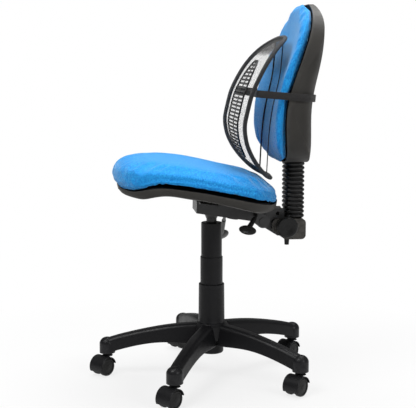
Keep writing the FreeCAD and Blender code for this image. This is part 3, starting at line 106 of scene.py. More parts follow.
def middle_y(tree, x, z):
    """Middle of a thin piece at (x, z), looking along Y, or None beside it."""
    front = first_hit(tree, (x, -1.0, z), (0, 1, 0))
    rear = first_hit(tree, (x, 1.0, z), (0, -1, 0))
    return None if front is None or rear is None else (front.y + rear.y) / 2


def superellipse(turn, half_u, half_v, power):
    c, s = math.cos(turn), math.sin(turn)
    u = half_u * math.copysign(abs(c) ** (2 / power), c)
    v = half_v * math.copysign(abs(s) ** (2 / power), s)
    return u, v


# ---- making meshes -----------------------------------------------------------------------------
def new_object(name, vertices, faces, smooth=True):
    mesh = bpy.data.meshes.new(name)
    mesh.from_pydata([tuple(v) for v in vertices], [], faces)
    mesh.validate()
    obj = bpy.data.objects.new(name, mesh)
    bpy.context.scene.collection.objects.link(obj)
    set_smooth(obj, smooth)
    return obj


def set_smooth(obj, smooth=True):
    obj.data.polygons.foreach_set("use_smooth", [smooth] * len(obj.data.polygons))


def outward(obj):
    """Turns every face's normal outwards."""
    made = bmesh.new()
    made.from_mesh(obj.data)
    bmesh.ops.recalc_face_normals(made, faces=made.faces)
    made.to_mesh(obj.data)
    made.free()


def ring_mesh(rings, closed_along, capped=True):
    """Vertices and faces of a skin over rings of the same number of points."""
    count, around = len(rings), len(rings[0])
    vertices = [p for ring in rings for p in ring]
    faces = []
    for i in range(count if closed_along else count - 1):
        j = (i + 1) % count
        for k in range(around):
            m = (k + 1) % around
            faces.append((i * around + k, i * around + m, j * around + m, j * around + k))
    if capped and not closed_along:
        faces.append(tuple(range(around))[::-1])
        faces.append(tuple(range((count - 1) * around, count * around)))
    return vertices, faces


def sweep(name, path, profile, closed, side_at):
    """Sweeps profile(k) -> [(u, v)] along path; side_at(k, tangent) gives the u direction."""
    rings = []
    count = len(path)
    for k, point in enumerate(path):
        before = path[k - 1] if closed or k > 0 else path[k]
        after = path[(k + 1) % count] if closed or k < count - 1 else path[k]
        tangent = (after - before).normalized()
        side = side_at(k, tangent)
        side = (side - tangent * side.dot(tangent)).normalized()
        up = tangent.cross(side)
        rings.append([point + side * u + up * v for u, v in profile(k)])
    obj = new_object(name, *ring_mesh(rings, closed))
    outward(obj)
    return obj


def circle(radius, count=12, squeeze=1.0):
    turns = [2 * math.pi * k / count for k in range(count)]
    return [(radius * math.cos(t), radius * squeeze * math.sin(t)) for t in turns]


def join(name, objects):
    """One object from several mesh objects."""
    vertices, faces = [], []
    for obj in objects:
        first = len(vertices)
        vertices += [v.co.copy() for v in obj.data.vertices]
        faces += [tuple(first + i for i in p.vertices) for p in obj.data.polygons]
        bpy.data.objects.remove(obj)
    return new_object(name, vertices, faces)


def smooth_line(points, count):
    """Points along a smooth open spline that has the given control points."""
    curve = bpy.data.curves.new("line", "CURVE")
    curve.dimensions = "3D"
    curve.resolution_u = 16
    spline = curve.splines.new("NURBS")
    spline.points.add(len(points) - 1)
    for target, point in zip(spline.points, points):
        target.co = (*point, 1.0)
    spline.order_u = 3
    spline.use_endpoint_u = True
    obj = bpy.data.objects.new("line", curve)
    mesh = bpy.data.meshes.new_from_object(obj)
    line = [v.co.copy() for v in mesh.vertices]
    bpy.data.objects.remove(obj)
    bpy.data.curves.remove(curve)
    bpy.data.meshes.remove(mesh)
    lengths = [0.0]
    for a, b in zip(line, line[1:]):
        lengths.append(lengths[-1] + (b - a).length)
    wanted = np.linspace(0.0, lengths[-1], count)
    axes = [np.interp(wanted, lengths, [p[i] for p in line]) for i in range(3)]
    return [Vector(p) for p in zip(*axes)]


# ---- materials ---------------------------------------------------------------------------------
class Graph:
    """Short way to write the nodes of one material."""

    def __init__(self, name, colour, roughness, **sockets):
        self.material = bpy.data.materials.new(name)
        self.material.use_nodes = True
        self.tree = self.material.node_tree
        self.shader = self.tree.nodes["Principled BSDF"]
        self.shader.inputs["Base Color"].default_value = (*colour, 1.0)
        self.shader.inputs["Roughness"].default_value = roughness
        for key, value in sockets.items():
            self.shader.inputs[key.replace("_", " ")].default_value = value
        self.place = self.add("ShaderNodeTexCoord").outputs["Object"]

    def add(self, kind, inputs=None, **settings):
        node = self.tree.nodes.new(kind)
        for key, value in settings.items():
            setattr(node, key, value)
        for key, value in (inputs or {}).items():
            self.put(node.inputs[key], value)
        return node

    def put(self, socket, value):
        if isinstance(value, bpy.types.NodeSocket):
            self.tree.links.new(value, socket)
        else:
            socket.default_value = value

    def maths(self, operation, a, b=0.0, clamp=False):
        node = self.add("ShaderNodeMath", {0: a, 1: b}, operation=operation, use_clamp=clamp)
        return node.outputs[0]

    def noise(self, scale, detail=2.0, roughness=0.5, place=None):
        inputs = {"Vector": place or self.place, "Scale": scale, "Detail": detail, "Roughness": roughness}
        return self.add("ShaderNodeTexNoise", inputs).outputs["Fac"]

    def spread(self, value, low, high, to_low=0.0, to_high=1.0):
        inputs = {"Value": value, "From Min": low, "From Max": high, "To Min": to_low, "To Max": to_high}
        return self.add("ShaderNodeMapRange", inputs).outputs["Result"]

    def mix(self, factor, a, b):
        node = self.add("ShaderNodeMix", data_type="RGBA")
        self.put(node.inputs[0], factor)
        for index, value in ((6, a), (7, b)):
            linked = isinstance(value, bpy.types.NodeSocket)
            self.put(node.inputs[index], value if linked else (*value, 1.0))
        return node.outputs[2]

    def bump(self, height, distance, strength=1.0):
        inputs = {"Height": height, "Distance": distance, "Strength": strength}
        bump = self.add("ShaderNodeBump", inputs)
        self.put(self.shader.inputs["Normal"], bump.outputs["Normal"])

    def colour(self, value):
        self.put(self.shader.inputs["Base Color"], value)

    def roughness(self, value):
        self.put(self.shader.inputs["Roughness"], value)

    def axes(self):
        return self.add("ShaderNodeSeparateXYZ", {"Vector": self.place}).outputs

    def threads(self, pitch):
        """Two crossed sets of threads on whichever plane the surface lies in, as two waves."""
        x, y, z = self.axes()
        turn = 2 * math.pi / pitch
        u = self.maths("MULTIPLY", self.maths("ADD", x, z), turn)
        v = self.maths("MULTIPLY", self.maths("ADD", y, z), turn)
        return self.maths("SINE", u), self.maths("SINE", v)


BLUE = (0.006, 0.280, 0.680)
BLUE_LIGHT = (0.030, 0.430, 0.820)
BLUE_DEEP = (0.002, 0.140, 0.500)
WEAVE_PITCH = 0.0022


def fabric_material():
    g = Graph("blue_fabric", BLUE, 0.85, Sheen_Weight=0.35, Sheen_Roughness=0.35, Specular_IOR_Level=0.25)
    g.shader.inputs["Sheen Tint"].default_value = (0.85, 1.0, 1.0, 1.0)
    warp, weft = g.threads(WEAVE_PITCH)
    weave = g.maths("MULTIPLY", warp, weft)
    fuzz = g.noise(620.0, 3.0, 0.6)
    slub = g.noise(260.0, 2.0)
    cloud = g.noise(14.0, 2.0)
    heather = g.mix(g.spread(slub, 0.38, 0.66), BLUE_DEEP, BLUE_LIGHT)
    base = g.mix(g.spread(cloud, 0.35, 0.65, 0.25, 0.55), heather, BLUE)
    thread_shade = g.spread(weave, -1.0, 1.0, 0.0, 0.45)
    g.colour(g.mix(thread_shade, base, BLUE_DEEP))
    g.roughness(g.spread(fuzz, 0.3, 0.7, 0.75, 0.95))
    height = g.maths("ADD", g.maths("MULTIPLY", weave, 0.5), fuzz)
    g.bump(height, 0.0005, 0.7)
    return g.material


def plastic_material(name, colour, roughness, grain=420.0, depth=0.00018, worn=1.9):
    """Moulded plastic with a fine texture, faint flow marks and edges rubbed a little paler."""
    g = Graph(name, colour, roughness, Specular_IOR_Level=0.2)
    texture = g.noise(grain, 3.0, 0.55)
    flow = g.noise(18.0, 3.0)
    dust = g.noise(70.0, 4.0, 0.7)
    pale = tuple(min(1.0, c * worn + 0.004) for c in colour)
    edge = g.add("ShaderNodeNewGeometry").outputs["Pointiness"]
    rubbed = g.maths("MULTIPLY", g.spread(edge, 0.52, 0.60), g.spread(dust, 0.3, 0.6))
    shade = g.mix(g.spread(flow, 0.3, 0.7, 0.0, 0.5), colour, tuple(c * 0.65 for c in colour))
    g.colour(g.mix(rubbed, shade, pale))
    uneven = g.maths("ADD", g.maths("MULTIPLY", dust, 0.5), g.maths("MULTIPLY", flow, 0.5))
    g.roughness(g.spread(uneven, 0.3, 0.7, roughness - 0.07, roughness + 0.09))
    g.bump(texture, depth, 0.6)
    return g.material


def rubber_material():
    g = Graph("bellows_rubber", (0.008, 0.008, 0.008), 0.32, Specular_IOR_Level=0.3)
    bloom = g.noise(45.0, 4.0, 0.65)
    g.colour(g.mix(g.spread(bloom, 0.4, 0.75), (0.005, 0.005, 0.005), (0.014, 0.014, 0.014)))
    g.roughness(g.spread(bloom, 0.3, 0.7, 0.24, 0.46))
    g.bump(g.noise(900.0, 2.0), 0.0001, 0.5)
    return g.material


def steel_material(name, colour, roughness, metallic):
    """Drawn steel: faint turned lines round Z and a few duller spots."""
    g = Graph(name, colour, roughness, Metallic=metallic)
    mapping = g.add("ShaderNodeMapping", {"Vector": g.place, "Scale": (0.15, 0.15, 6.0)})
    lines = g.noise(260.0, 3.0, 0.6, mapping.outputs["Vector"])
    spots = g.noise(60.0, 3.0)
    g.colour(g.mix(g.spread(spots, 0.45, 0.75), colour, tuple(c * 0.6 for c in colour)))
    g.roughness(g.spread(lines, 0.3, 0.7, roughness - 0.06, roughness + 0.12))
    g.bump(lines, 0.00008, 0.5)
    return g.material


def webbing_material(name, colour, pitch, depth=0.0004):
    """Woven tape or braid: a tight crossed weave with fuzzy threads."""
    g = Graph(name, colour, 0.8, Sheen_Weight=0.15, Specular_IOR_Level=0.3)
    warp, weft = g.threads(pitch)
    weave = g.maths("MULTIPLY", warp, weft)
    fuzz = g.noise(800.0, 3.0, 0.6)
    dark, light = tuple(c * 0.5 for c in colour), tuple(c * 1.9 + 0.003 for c in colour)
    g.colour(g.mix(g.spread(weave, -1.0, 1.0), dark, light))
    g.roughness(g.spread(fuzz, 0.3, 0.7, 0.7, 0.92))
    g.bump(g.maths("ADD", weave, g.maths("MULTIPLY", fuzz, 0.6)), depth, 0.7)
    return g.material


NET_PITCH = 0.0030
NET_OPEN = 0.972          # a thread shows where its wave is above this


def net_material(box):
    """Black net: threads with clear holes between them, closer woven along the top and the foot."""
    g = Graph("lumbar_net", (0.020, 0.020, 0.020), 0.7, Specular_IOR_Level=0.3)
    x, z = g.axes()[0], g.axes()[2]
    turn = math.pi / NET_PITCH
    along = g.maths("ABSOLUTE", g.maths("COSINE", g.maths("MULTIPLY", g.maths("ADD", x, z), turn)))
    across = g.maths("ABSOLUTE", g.maths("COSINE", g.maths("MULTIPLY", g.maths("SUBTRACT", x, z), turn)))
    thread = g.maths("MAXIMUM", along, across)
    low, high = box[0].z, box[1].z
    to_top = g.spread(z, high - 0.042, high - 0.028)
    to_foot = g.spread(z, low + 0.020, low + 0.034, 1.0, 0.0)
    band = g.maths("MAXIMUM", to_top, to_foot)
    limit = g.spread(band, 0.0, 1.0, NET_OPEN, 0.45)
    g.put(g.shader.inputs["Alpha"], g.maths("GREATER_THAN", thread, limit))
    g.colour(g.mix(g.noise(500.0), (0.012, 0.012, 0.012), (0.035, 0.035, 0.035)))
    g.bump(thread, 0.0004, 0.6)
    return g.material


def wood_material():
    """Plywood stained near-black, so that its edge doesn't show beside the dark shells."""
    g = Graph("plywood", (0.020, 0.016, 0.012), 0.6)
    mapping = g.add("ShaderNodeMapping", {"Vector": g.place, "Scale": (1.0, 14.0, 14.0)})
    grain = g.noise(9.0, 5.0, 0.6, mapping.outputs["Vector"])
    g.colour(g.mix(g.spread(grain, 0.35, 0.65), (0.014, 0.011, 0.009), (0.030, 0.023, 0.017)))
    g.bump(grain, 0.0003, 0.5)
    return g.material


def make_materials():
    shell = plastic_material("shell_plastic", (0.034, 0.032, 0.029), 0.52, 520.0, 0.00025)
    return {
        "base_nylon": plastic_material("base_nylon", (0.008, 0.008, 0.009), 0.40),
        "wheel_nylon": plastic_material("wheel_nylon", (0.010, 0.010, 0.010), 0.42),
        "bright_steel": steel_material("bright_steel", (0.62, 0.63, 0.65), 0.22, 1.0),
        "black_steel": steel_material("black_steel", (0.014, 0.014, 0.015), 0.38, 0.0),
        "bush_plastic": plastic_material("bush_plastic", (0.012, 0.012, 0.012), 0.45),
        "cover_plastic": plastic_material("cover_plastic", (0.006, 0.006, 0.007), 0.42, 380.0, 0.00012),
        "plywood": wood_material(),
        "shell_plastic": shell,
        "blue_fabric": fabric_material(),
        "grip_plastic": plastic_material("grip_plastic", (0.010, 0.010, 0.010), 0.35),
        "bellows_rubber": rubber_material(),
        "lumbar_piping": webbing_material("lumbar_piping", (0.011, 0.011, 0.012), 0.0016),
        "lumbar_net": net_material(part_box("lumbar_mesh")),
        "bead_plastic": plastic_material("bead_plastic", (0.013, 0.013, 0.013), 0.34),
        "elastic": webbing_material("elastic", (0.013, 0.012, 0.012), 0.0018),
    }


def finish_piece(obj, slot, body, *nodes):
    obj.data.materials.clear()
    obj.data.materials.append(materials[slot])
    if nodes:
        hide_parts(*nodes)
    if body:
        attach(obj, body)
    return obj


# ---- padded pieces -----------------------------------------------------------------------------
def remeshed(name, node, voxel):
    """An even mesh of a CAD solid."""
    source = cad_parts[node].data
    work = bpy.data.objects.new(name, source.copy())
    work.data.materials.clear()
    bpy.context.scene.collection.objects.link(work)
    remesh = work.modifiers.new("even", "REMESH")
    remesh.mode = "VOXEL"
    remesh.voxel_size = voxel
    relax = work.modifiers.new("relax", "SMOOTH")
    relax.factor = 0.5
    relax.iterations = 4
    depsgraph = bpy.context.evaluated_depsgraph_get()
    mesh = bpy.data.meshes.new_from_object(work.evaluated_get(depsgraph))
    work.modifiers.clear()
    work.data = mesh
    return work


def drawn_in(obj, is_held):
    """Room for the cloth simulation to swell into, except where the cover is held."""
    normals = [v.normal.copy() for v in obj.data.vertices]
    for vertex, normal in zip(obj.data.vertices, normals):
        if not is_held(vertex.co):
            vertex.co -= normal * SHRINK


def coordinates(mesh):
    values = np.empty(len(mesh.vertices) * 3)
    mesh.vertices.foreach_get("co", values)
    return values.reshape(-1, 3)


def swollen(obj, is_held):
    """Cloth under pressure, with the held points kept and no point moved further than SWELL_CAP."""
    group = obj.vertex_groups.new(name="held")
    group.add([v.index for v in obj.data.vertices if is_held(v.co)], 1.0, "REPLACE")
    cloth = obj.modifiers.new("pressure", "CLOTH")
    cloth.settings.use_pressure = True
    cloth.settings.uniform_pressure_force = CLOTH_PRESSURE
    cloth.settings.effector_weights.gravity = 0.0
    cloth.settings.vertex_group_mass = "held"
    cloth.settings.quality = 4
    cloth.settings.tension_stiffness = 12.0
    cloth.settings.compression_stiffness = 12.0
    cloth.settings.bending_stiffness = 0.6
    cloth.point_cache.frame_start = 1
    cloth.point_cache.frame_end = CLOTH_FRAMES
    before = coordinates(obj.data)
    scene = bpy.context.scene
    for step in range(1, CLOTH_FRAMES + 1):
        scene.frame_set(step)
    depsgraph = bpy.context.evaluated_depsgraph_get()
    after = coordinates(obj.evaluated_get(depsgraph).data)
    moved = after - before
    length = np.linalg.norm(moved, axis=1, keepdims=True)
    kept = moved * np.minimum(1.0, SWELL_CAP / np.maximum(length, 1e-9))
    obj.modifiers.clear()
    obj.vertex_groups.clear()
    obj.data.vertices.foreach_set("co", (before + kept).ravel())
    scene.frame_set(1)


def uneven(obj, depth, size, seed):
    """Shallow hollows that upholstery foam shows."""
    offset = Vector((seed, seed * 2.0, seed * 3.0))
    normals = [v.normal.copy() for v in obj.data.vertices]
    for vertex, normal in zip(obj.data.vertices, normals):
        vertex.co += normal * (noise.noise(vertex.co / size + offset) - 0.25) * depth


def grooved(obj, lines, depth, width):
    """Presses a soft groove into the surface along each line of points."""
    spans = [(a, b) for line in lines for a, b in zip(line, line[1:])]
    normals = [v.normal.copy() for v in obj.data.vertices]
    for vertex, normal in zip(obj.data.vertices, normals):
        nearest = width
        for a, b in spans:
            along = b - a
            share = max(0.0, min(1.0, (vertex.co - a).dot(along) / along.length_squared))
            distance = (vertex.co - a - along * share).length
            nearest = min(nearest, distance)
        if nearest < width:
            vertex.co -= normal * depth * (0.5 + 0.5 * math.cos(math.pi * nearest / width))


def subdivided(obj, levels=1):
    modifier = obj.modifiers.new("smooth", "SUBSURF")
    modifier.levels = levels
    modifier.render_levels = levels
    depsgraph = bpy.context.evaluated_depsgraph_get()
    mesh = bpy.data.meshes.new_from_object(obj.evaluated_get(depsgraph))
    obj.modifiers.clear()
    obj.data = mesh
    set_smooth(obj)


def padded_piece(name, node, body, is_held, grooves):
    obj = remeshed(name, node, VOXEL)
    drawn_in(obj, is_held)
    swollen(obj, is_held)
    subdivided(obj)
    uneven(obj, UNEVEN_DEPTH, UNEVEN_SIZE, 3.0)
    if grooves:
        grooved(obj, grooves, CREASE_DEPTH, CREASE_HALF_W)
    finish_piece(obj, "blue_fabric", body, node)
    return obj


def make_seat_pad():
    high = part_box("seat_cushion")[1]
    shell = tree_of("seat_shell")
    cushion = tree_of("seat_cushion")

    def is_held(point):
        hit = first_hit(shell, point, (0, 0, -1), 0.03)
        return hit is not None and (point - hit).length < HELD_SEAT

    creases = []
    for side in (-1, 1):
        line = []
        for share in range(9):
            y = high.y - 0.150 + 0.016 * share
            x = side * (high.x - 0.045 - 0.004 * abs(share - 4))
            top = first_hit(cushion, (x, y, high.z + 0.2), (0, 0, -1))
            if top is not None:
                line.append(top)
        creases.append(line)
    return padded_piece("seat_fabric", "seat_cushion", "seat", is_held, creases)


def make_back_pad():
    board = tree_of("back_board")

    def is_held(point):
        hit = first_hit(board, point, (0, 1, 0), 0.03)
        return hit is not None and (point - hit).length < HELD_BACK

    return padded_piece("back_fabric", "back_cushion", "backrest", is_held, [])


# ---- bellows -----------------------------------------------------------------------------------
def make_bellows():
    """Rubber sleeve with round ridges and tight valleys."""
    low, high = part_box("bellows")
    middle_x, mid_y = (low.x + high.x) / 2, (low.y + high.y) / 2
    half_x, half_y = (high.x - low.x) / 2, (high.y - low.y) / 2
    rings = []

    def ring_at(z, inset):
        ring = []
        for m in range(BELLOWS_AROUND):
            turn = 2 * math.pi * (m + 0.5) / BELLOWS_AROUND
            u, v = superellipse(turn, half_x - inset, half_y - inset, BELLOWS_POWER)
            ring.append(Vector((middle_x + u, mid_y + v, z)))
        return ring

    for k in range(FOLDS * FOLD_STEPS + 1):
        share = (k % FOLD_STEPS) / FOLD_STEPS
        inset = FOLD_DEPTH * (1.0 - math.sin(math.pi * share) ** 0.6)
        rings.append(ring_at(low.z + (high.z - low.z) * k / (FOLDS * FOLD_STEPS), inset))
    inner = [ring_at(z, FOLD_DEPTH + BELLOWS_WALL) for z in (high.z, low.z)]
    obj = new_object("bellows_sleeve", *ring_mesh(rings + inner, True))
    outward(obj)
    finish_piece(obj, "bellows_rubber", None, "bellows")
    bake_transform(obj)
    return obj


# ---- lumbar support ----------------------------------------------------------------------------
def outline_path(count):
    """Points along the middle of the lumbar frame's pipe."""
    low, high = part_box("lumbar_frame")
    half_x, half_z = (high.x - low.x) / 2 - PIPE_R, (high.z - low.z) / 2 - PIPE_R
    centre_x, centre_z = (low.x + high.x) / 2, (low.z + high.z) / 2
    points = []
    for k in range(count):
        u, v = superellipse(2 * math.pi * (k + 0.5) / count, half_x, half_z, FRAME_POWER)
        points.append(Vector((centre_x + u, 0.0, centre_z + v)))
    for point in points:
        point.y = bow_y(point.z)
    return points


def measure_bow():
    """Depth of the lumbar frame against height, from the CAD frame's own pipe."""
    tree = tree_of("lumbar_frame")
    low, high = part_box("lumbar_frame")
    half_x, half_z = (high.x - low.x) / 2 - PIPE_R, (high.z - low.z) / 2 - PIPE_R
    centre_z = (low.z + high.z) / 2
    found = {}
    for k in range(140):
        turn = math.pi * (k + 0.5) / 140 - math.pi / 2
        u, v = superellipse(turn, half_x, half_z, FRAME_POWER)
        y = middle_y(tree, u, centre_z + v)
        if y is not None:
            found[round(centre_z + v, 5)] = y
    heights = sorted(found)
    return heights, [found[z] for z in heights]


def bow_y(z):
    return float(np.interp(z, BOW_HEIGHTS, BOW_DEPTHS))


def make_lumbar_frame():
    """Wire in fabric piping: a round edge with a flat lip towards the net, and its stitches."""
    count = 200
    path = outline_path(count)
    low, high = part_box("lumbar_frame")
    centre_z = (low.z + high.z) / 2

    def inwards(k, tangent):
        at = path[k]
        return Vector((-at.x, bow_y(at.z * 0.9 + centre_z * 0.1) - at.y, centre_z - at.z))

    def piping(k):
        ripple = 1.0 + 0.02 * math.sin(k * 2.1)
        ring = []
        for u, v in circle(PIPE_R * ripple, 14):
            pulled = u > 0.6 * PIPE_R
            ring.append((u + (0.0035 if pulled else 0.0), v * (0.45 if pulled else 1.0)))
        return ring

    obj = sweep("lumbar_piping", path, piping, True, inwards)
    finish_piece(obj, "lumbar_piping", "backrest", "lumbar_frame")
    stitches = []
    for k in range(0, count, 2):
        a, b = path[k], path[(k + 1) % count]
        inward = inwards(k, None).normalized() * (PIPE_R + 0.0010)
        for face in (-1, 1):
            lift = Vector((0, face * 0.0026, 0))
            line = [a + inward + lift, (a + b) / 2 + inward + lift * 1.25, b + inward + lift]
            stitches.append(sweep("stitch", line, lambda j: circle(STITCH_R, 5), False,
                                  lambda j, t: Vector((0, 1, 0))))
    thread = join("lumbar_stitches", stitches)
    finish_piece(thread, "lumbar_piping", "backrest")


def make_net():
    """The stretched net, one sheet inside the frame."""
    columns, rows = 56, 60
    low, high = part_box("lumbar_mesh")
    half_x, half_z = (high.x - low.x) / 2 + 0.0012, (high.z - low.z) / 2 + 0.0012
    centre_z = (low.z + high.z) / 2
    vertices, faces = [], []
    for row in range(rows + 1):
        v = -math.cos(math.pi * row / rows)
        width = half_x * max(0.02, 1 - abs(v) ** FRAME_POWER) ** (1 / FRAME_POWER)
        z = centre_z + half_z * v * 0.9985
        for column in range(columns + 1):
            u = 2 * column / columns - 1
            slack = 0.0012 * (1 - u * u) * (1 - v * v)
            vertices.append(Vector((u * width, bow_y(z) + slack, z)))
    for row in range(rows):
        for column in range(columns):
            a = row * (columns + 1) + column
            faces.append((a, a + 1, a + columns + 2, a + columns + 1))
    obj = new_object("lumbar_netting", vertices, faces)
    finish_piece(obj, "lumbar_net", "backrest", "lumbar_mesh")
    width, length = 2 * half_x, sheet_length(low.z, high.z)


def sheet_length(bottom, top):
    heights = np.linspace(bottom, top, 80)
    depths = [bow_y(z) for z in heights]
    return float(sum(math.hypot(b - a, e - d) for a, b, d, e
                     in zip(heights, heights[1:], depths, depths[1:])))


def bead_half_width(z, low, high):
    u = min(1.0, abs(2 * (z - low.z) / (high.z - low.z) - 1))
    return high.x * math.sqrt(max(0.0, 1 - u ** 2.2))


def make_beads():
    """Panel of beaded bars between two side cords, with a spine that ties the bars together."""
    low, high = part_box("lumbar_beads")
    pieces = []
    pitch = (high.z - low.z) / BEAD_ROWS

    def level(k, tangent):
        return Vector((0, 1, 0))

    for row in range(BEAD_ROWS):
        z = low.z + pitch * (row + 0.5)
        half = bead_half_width(z, low, high) - 0.002
        if half < 0.012:
            continue
        count = max(8, int(half / 0.0014))
        path = [Vector((half * (2 * k / count - 1), bow_y(z) + BEAD_OFFSET, z)) for k in range(count + 1)]

        def bead(k, path=path):
            radius = BEAD_R + BEAD_SWELL * abs(math.cos(math.pi * path[k].x / BEAD_PITCH)) ** 0.7
            return circle(radius, 8)

        pieces.append(sweep("bar", path, bead, False, level))
    edge = []
    for k in range(64):
        turn = 2 * math.pi * (k + 0.5) / 64
        z = (low.z + high.z) / 2 + ((high.z - low.z) / 2 - 0.003) * math.sin(turn)
        half = max(0.004, bead_half_width(z, low, high) - 0.003)
        edge.append(Vector((math.copysign(half, math.cos(turn)), bow_y(z) + BEAD_OFFSET, z)))
    pieces.append(sweep("edge", edge, lambda k: circle(0.0023, 8), True, level))
    spine_heights = np.linspace(low.z + 0.004, high.z - 0.004, 60)
    spine = [Vector((0, bow_y(z) + BEAD_OFFSET + 0.0012, z)) for z in spine_heights]
    flat = [(u * 0.45, v * 1.6) for u, v in circle(0.0026, 8)]
    pieces.append(sweep("spine", spine, lambda k: flat, False, level))
    obj = join("bead_panel", pieces)
    finish_piece(obj, "bead_plastic", "backrest", "lumbar_beads")


def make_cords():
    """Two elastic cords held between the top and the foot of the frame."""
    tree = tree_of("lumbar_cords")
    low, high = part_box("lumbar_cords")
    pieces = []
    for side, radius in ((-1, CORD_R_FAR), (1, CORD_R_NEAR)):
        x = side * (high.x - 0.0016)
        controls = []
        for z in np.linspace(high.z - 0.003, low.z + 0.003, 9):
            y = middle_y(tree, x, z)
            if y is not None:
                controls.append((x, y, z))
        line = smooth_line(controls, 90)

        def braid(k, radius=radius):
            return circle(radius * (1.0 + 0.05 * math.sin(k * 1.3)), 10)

        cord = sweep("elastic_cord_" + ("far" if side < 0 else "near"), line, braid, False,
                     lambda k, t: Vector((1, 0, 0)))
        pieces.append(cord)
    for cord in pieces:
        finish_piece(cord, "elastic", "backrest")
    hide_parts("lumbar_cords")


def make_strap():
    """Elastic webbing strap across the frame and round the back shell."""
    tree = tree_of("lumbar_strap")
    low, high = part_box("lumbar_strap")
    across = Vector((0, math.cos(STRAP_LEAN), math.sin(STRAP_LEAN)))
    centre = Vector((0, (low.y + high.y) / 2, (low.z + high.z) / 2))
    path = []
    count = 240
    for k in range(count):
        turn = 2 * math.pi * (k + 0.5) / count
        direction = Vector((math.cos(turn), 0, 0)) + across * math.sin(turn)
        outer = first_hit(tree, centre + direction * 1.0, -direction)
        inner = first_hit(tree, centre, direction)
        if outer is not None and inner is not None:
            path.append((outer + inner) / 2)
    path = even_loop(path, count)
    normal = Vector((1, 0, 0)).cross(across).normalized()

    def band(k):
        half, ply = STRAP_H / 2 - 0.0003, STRAP_T / 2
        rib = 0.00012 * math.sin(k * 1.7)
        return [(-half, -ply * 0.5), (-half * 0.93, -ply), (0, -ply - rib), (half * 0.93, -ply),
                (half, -ply * 0.5), (half, ply * 0.5), (half * 0.93, ply), (0, ply + rib),
                (-half * 0.93, ply), (-half, ply * 0.5)]

    obj = sweep("lumbar_webbing", path, band, True, lambda k, t: normal)
    finish_piece(obj, "elastic", "backrest", "lumbar_strap")


def even_loop(points, count):
    closed = points + points[:1]
    lengths = [0.0]
    for a, b in zip(closed, closed[1:]):
        lengths.append(lengths[-1] + (b - a).length)
    wanted = np.linspace(0.0, lengths[-1], count, endpoint=False)
    axes = [np.interp(wanted, lengths, [p[i] for p in closed]) for i in range(3)]
    return [Vector(p) for p in zip(*axes)]


# ---- CAD nodes that stay -----------------------------------------------------------------------
def dress_nodes():
    """Each CAD node keeps its shape and takes the finish of the slot that it was packed with."""
    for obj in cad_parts.values():
        for place in obj.material_slots:
            place.material = materials[place.material.name.split(".")[0]]


# ---- stage, light and camera -------------------------------------------------------------------
FLOOR_R = 14.0


def make_floor():
    count = 96
    turns = [2 * math.pi * k / count for k in range(count)]
    ring = [Vector((FLOOR_R * math.cos(t), FLOOR_R * math.sin(t), 0)) for t in turns]
    floor = new_object("floor", ring, [tuple(range(count))], False)
    g = Graph("pale_floor", (0.62, 0.62, 0.62), 0.9, Specular_IOR_Level=0.1)
    path = g.add("ShaderNodeLightPath")
    seen = g.maths("MAXIMUM", path.outputs["Is Camera Ray"], path.outputs["Is Glossy Ray"])
    seen = g.maths("MAXIMUM", seen, path.outputs["Is Transmission Ray"])
    distance = g.add("ShaderNodeVectorMath", {0: g.place}, operation="LENGTH").outputs["Value"]
    far = g.spread(distance, 0.40, 1.0)
    share = g.spread(far, 0.0, 1.0, 0.80, 1.0)
    white = g.add("ShaderNodeEmission", {"Color": (1.0, 1.0, 1.0, 1.0), "Strength": 1.0})
    mix = g.add("ShaderNodeMixShader", {0: g.maths("MULTIPLY", seen, share), 1: g.shader.outputs[0],
                                        2: white.outputs[0]})
    output = g.tree.nodes["Material Output"]
    g.tree.links.new(mix.outputs[0], output.inputs["Surface"])
    floor.data.materials.append(g.material)


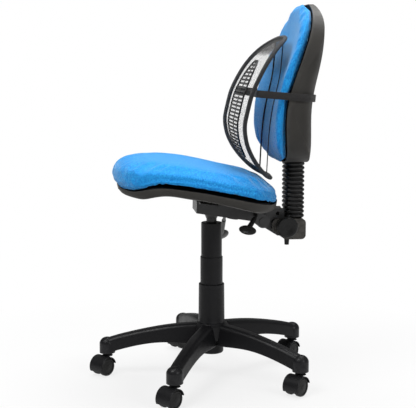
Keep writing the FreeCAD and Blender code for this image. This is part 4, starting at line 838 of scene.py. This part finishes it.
def make_world(light):
    world = bpy.data.worlds.new("studio")
    bpy.context.scene.world = world
    world.use_nodes = True
    tree = world.node_tree
    background = tree.nodes["Background"]
    background.inputs["Color"].default_value = (1.0, 1.0, 1.0, 1.0)
    path = tree.nodes.new("ShaderNodeLightPath")
    seen = tree.nodes.new("ShaderNodeMath")
    seen.operation = "MAXIMUM"
    tree.links.new(path.outputs["Is Camera Ray"], seen.inputs[0])
    tree.links.new(path.outputs["Is Transmission Ray"], seen.inputs[1])
    strength = tree.nodes.new("ShaderNodeMapRange")
    tree.links.new(seen.outputs[0], strength.inputs["Value"])
    strength.inputs["To Min"].default_value = light
    strength.inputs["To Max"].default_value = 1.0
    tree.links.new(strength.outputs["Result"], background.inputs["Strength"])


def make_lamp(name, place, aim, size, power, tint=(1.0, 1.0, 1.0)):
    data = bpy.data.lights.new(name, "AREA")
    data.shape = "DISK"
    data.size = size
    data.energy = power
    data.color = tint
    lamp = bpy.data.objects.new(name, data)
    lamp.location = place
    direction = Vector(aim) - Vector(place)
    lamp.rotation_euler = direction.to_track_quat("-Z", "Y").to_euler()
    bpy.context.scene.collection.objects.link(lamp)


def make_camera():
    data = bpy.data.cameras.new("camera")
    data.lens = CAMERA_LENS
    data.sensor_width = 36.0
    camera = bpy.data.objects.new("camera", data)
    camera.location = (CAMERA_RADIUS * math.sin(CAMERA_AZIMUTH),
                       -CAMERA_RADIUS * math.cos(CAMERA_AZIMUTH), CAMERA_HEIGHT)
    camera.rotation_euler = (math.pi / 2 - CAMERA_PITCH, 0.0, CAMERA_AZIMUTH + CAMERA_PAN)
    bpy.context.scene.collection.objects.link(camera)
    bpy.context.scene.camera = camera


make_camera()
make_floor()
make_world(0.22)
make_lamp("key", (1.2, -1.6, 3.1), (0, -0.1, 0.5), 1.6, 76.0)
make_lamp("fill", (2.4, 1.8, 1.7), (0, 0.1, 0.6), 1.2, 32.0)
make_lamp("top", (-0.6, 0.4, 3.0), (0, 0, 0.5), 1.8, 84.0)

materials = make_materials()
BOW_HEIGHTS, BOW_DEPTHS = measure_bow()
dress_nodes()
make_seat_pad()
make_back_pad()
make_bellows()
make_lumbar_frame()
make_net()
make_beads()
make_cords()
make_strap()

bpy.context.scene.view_settings.view_transform = "Standard"
bpy.context.view_layer.update()
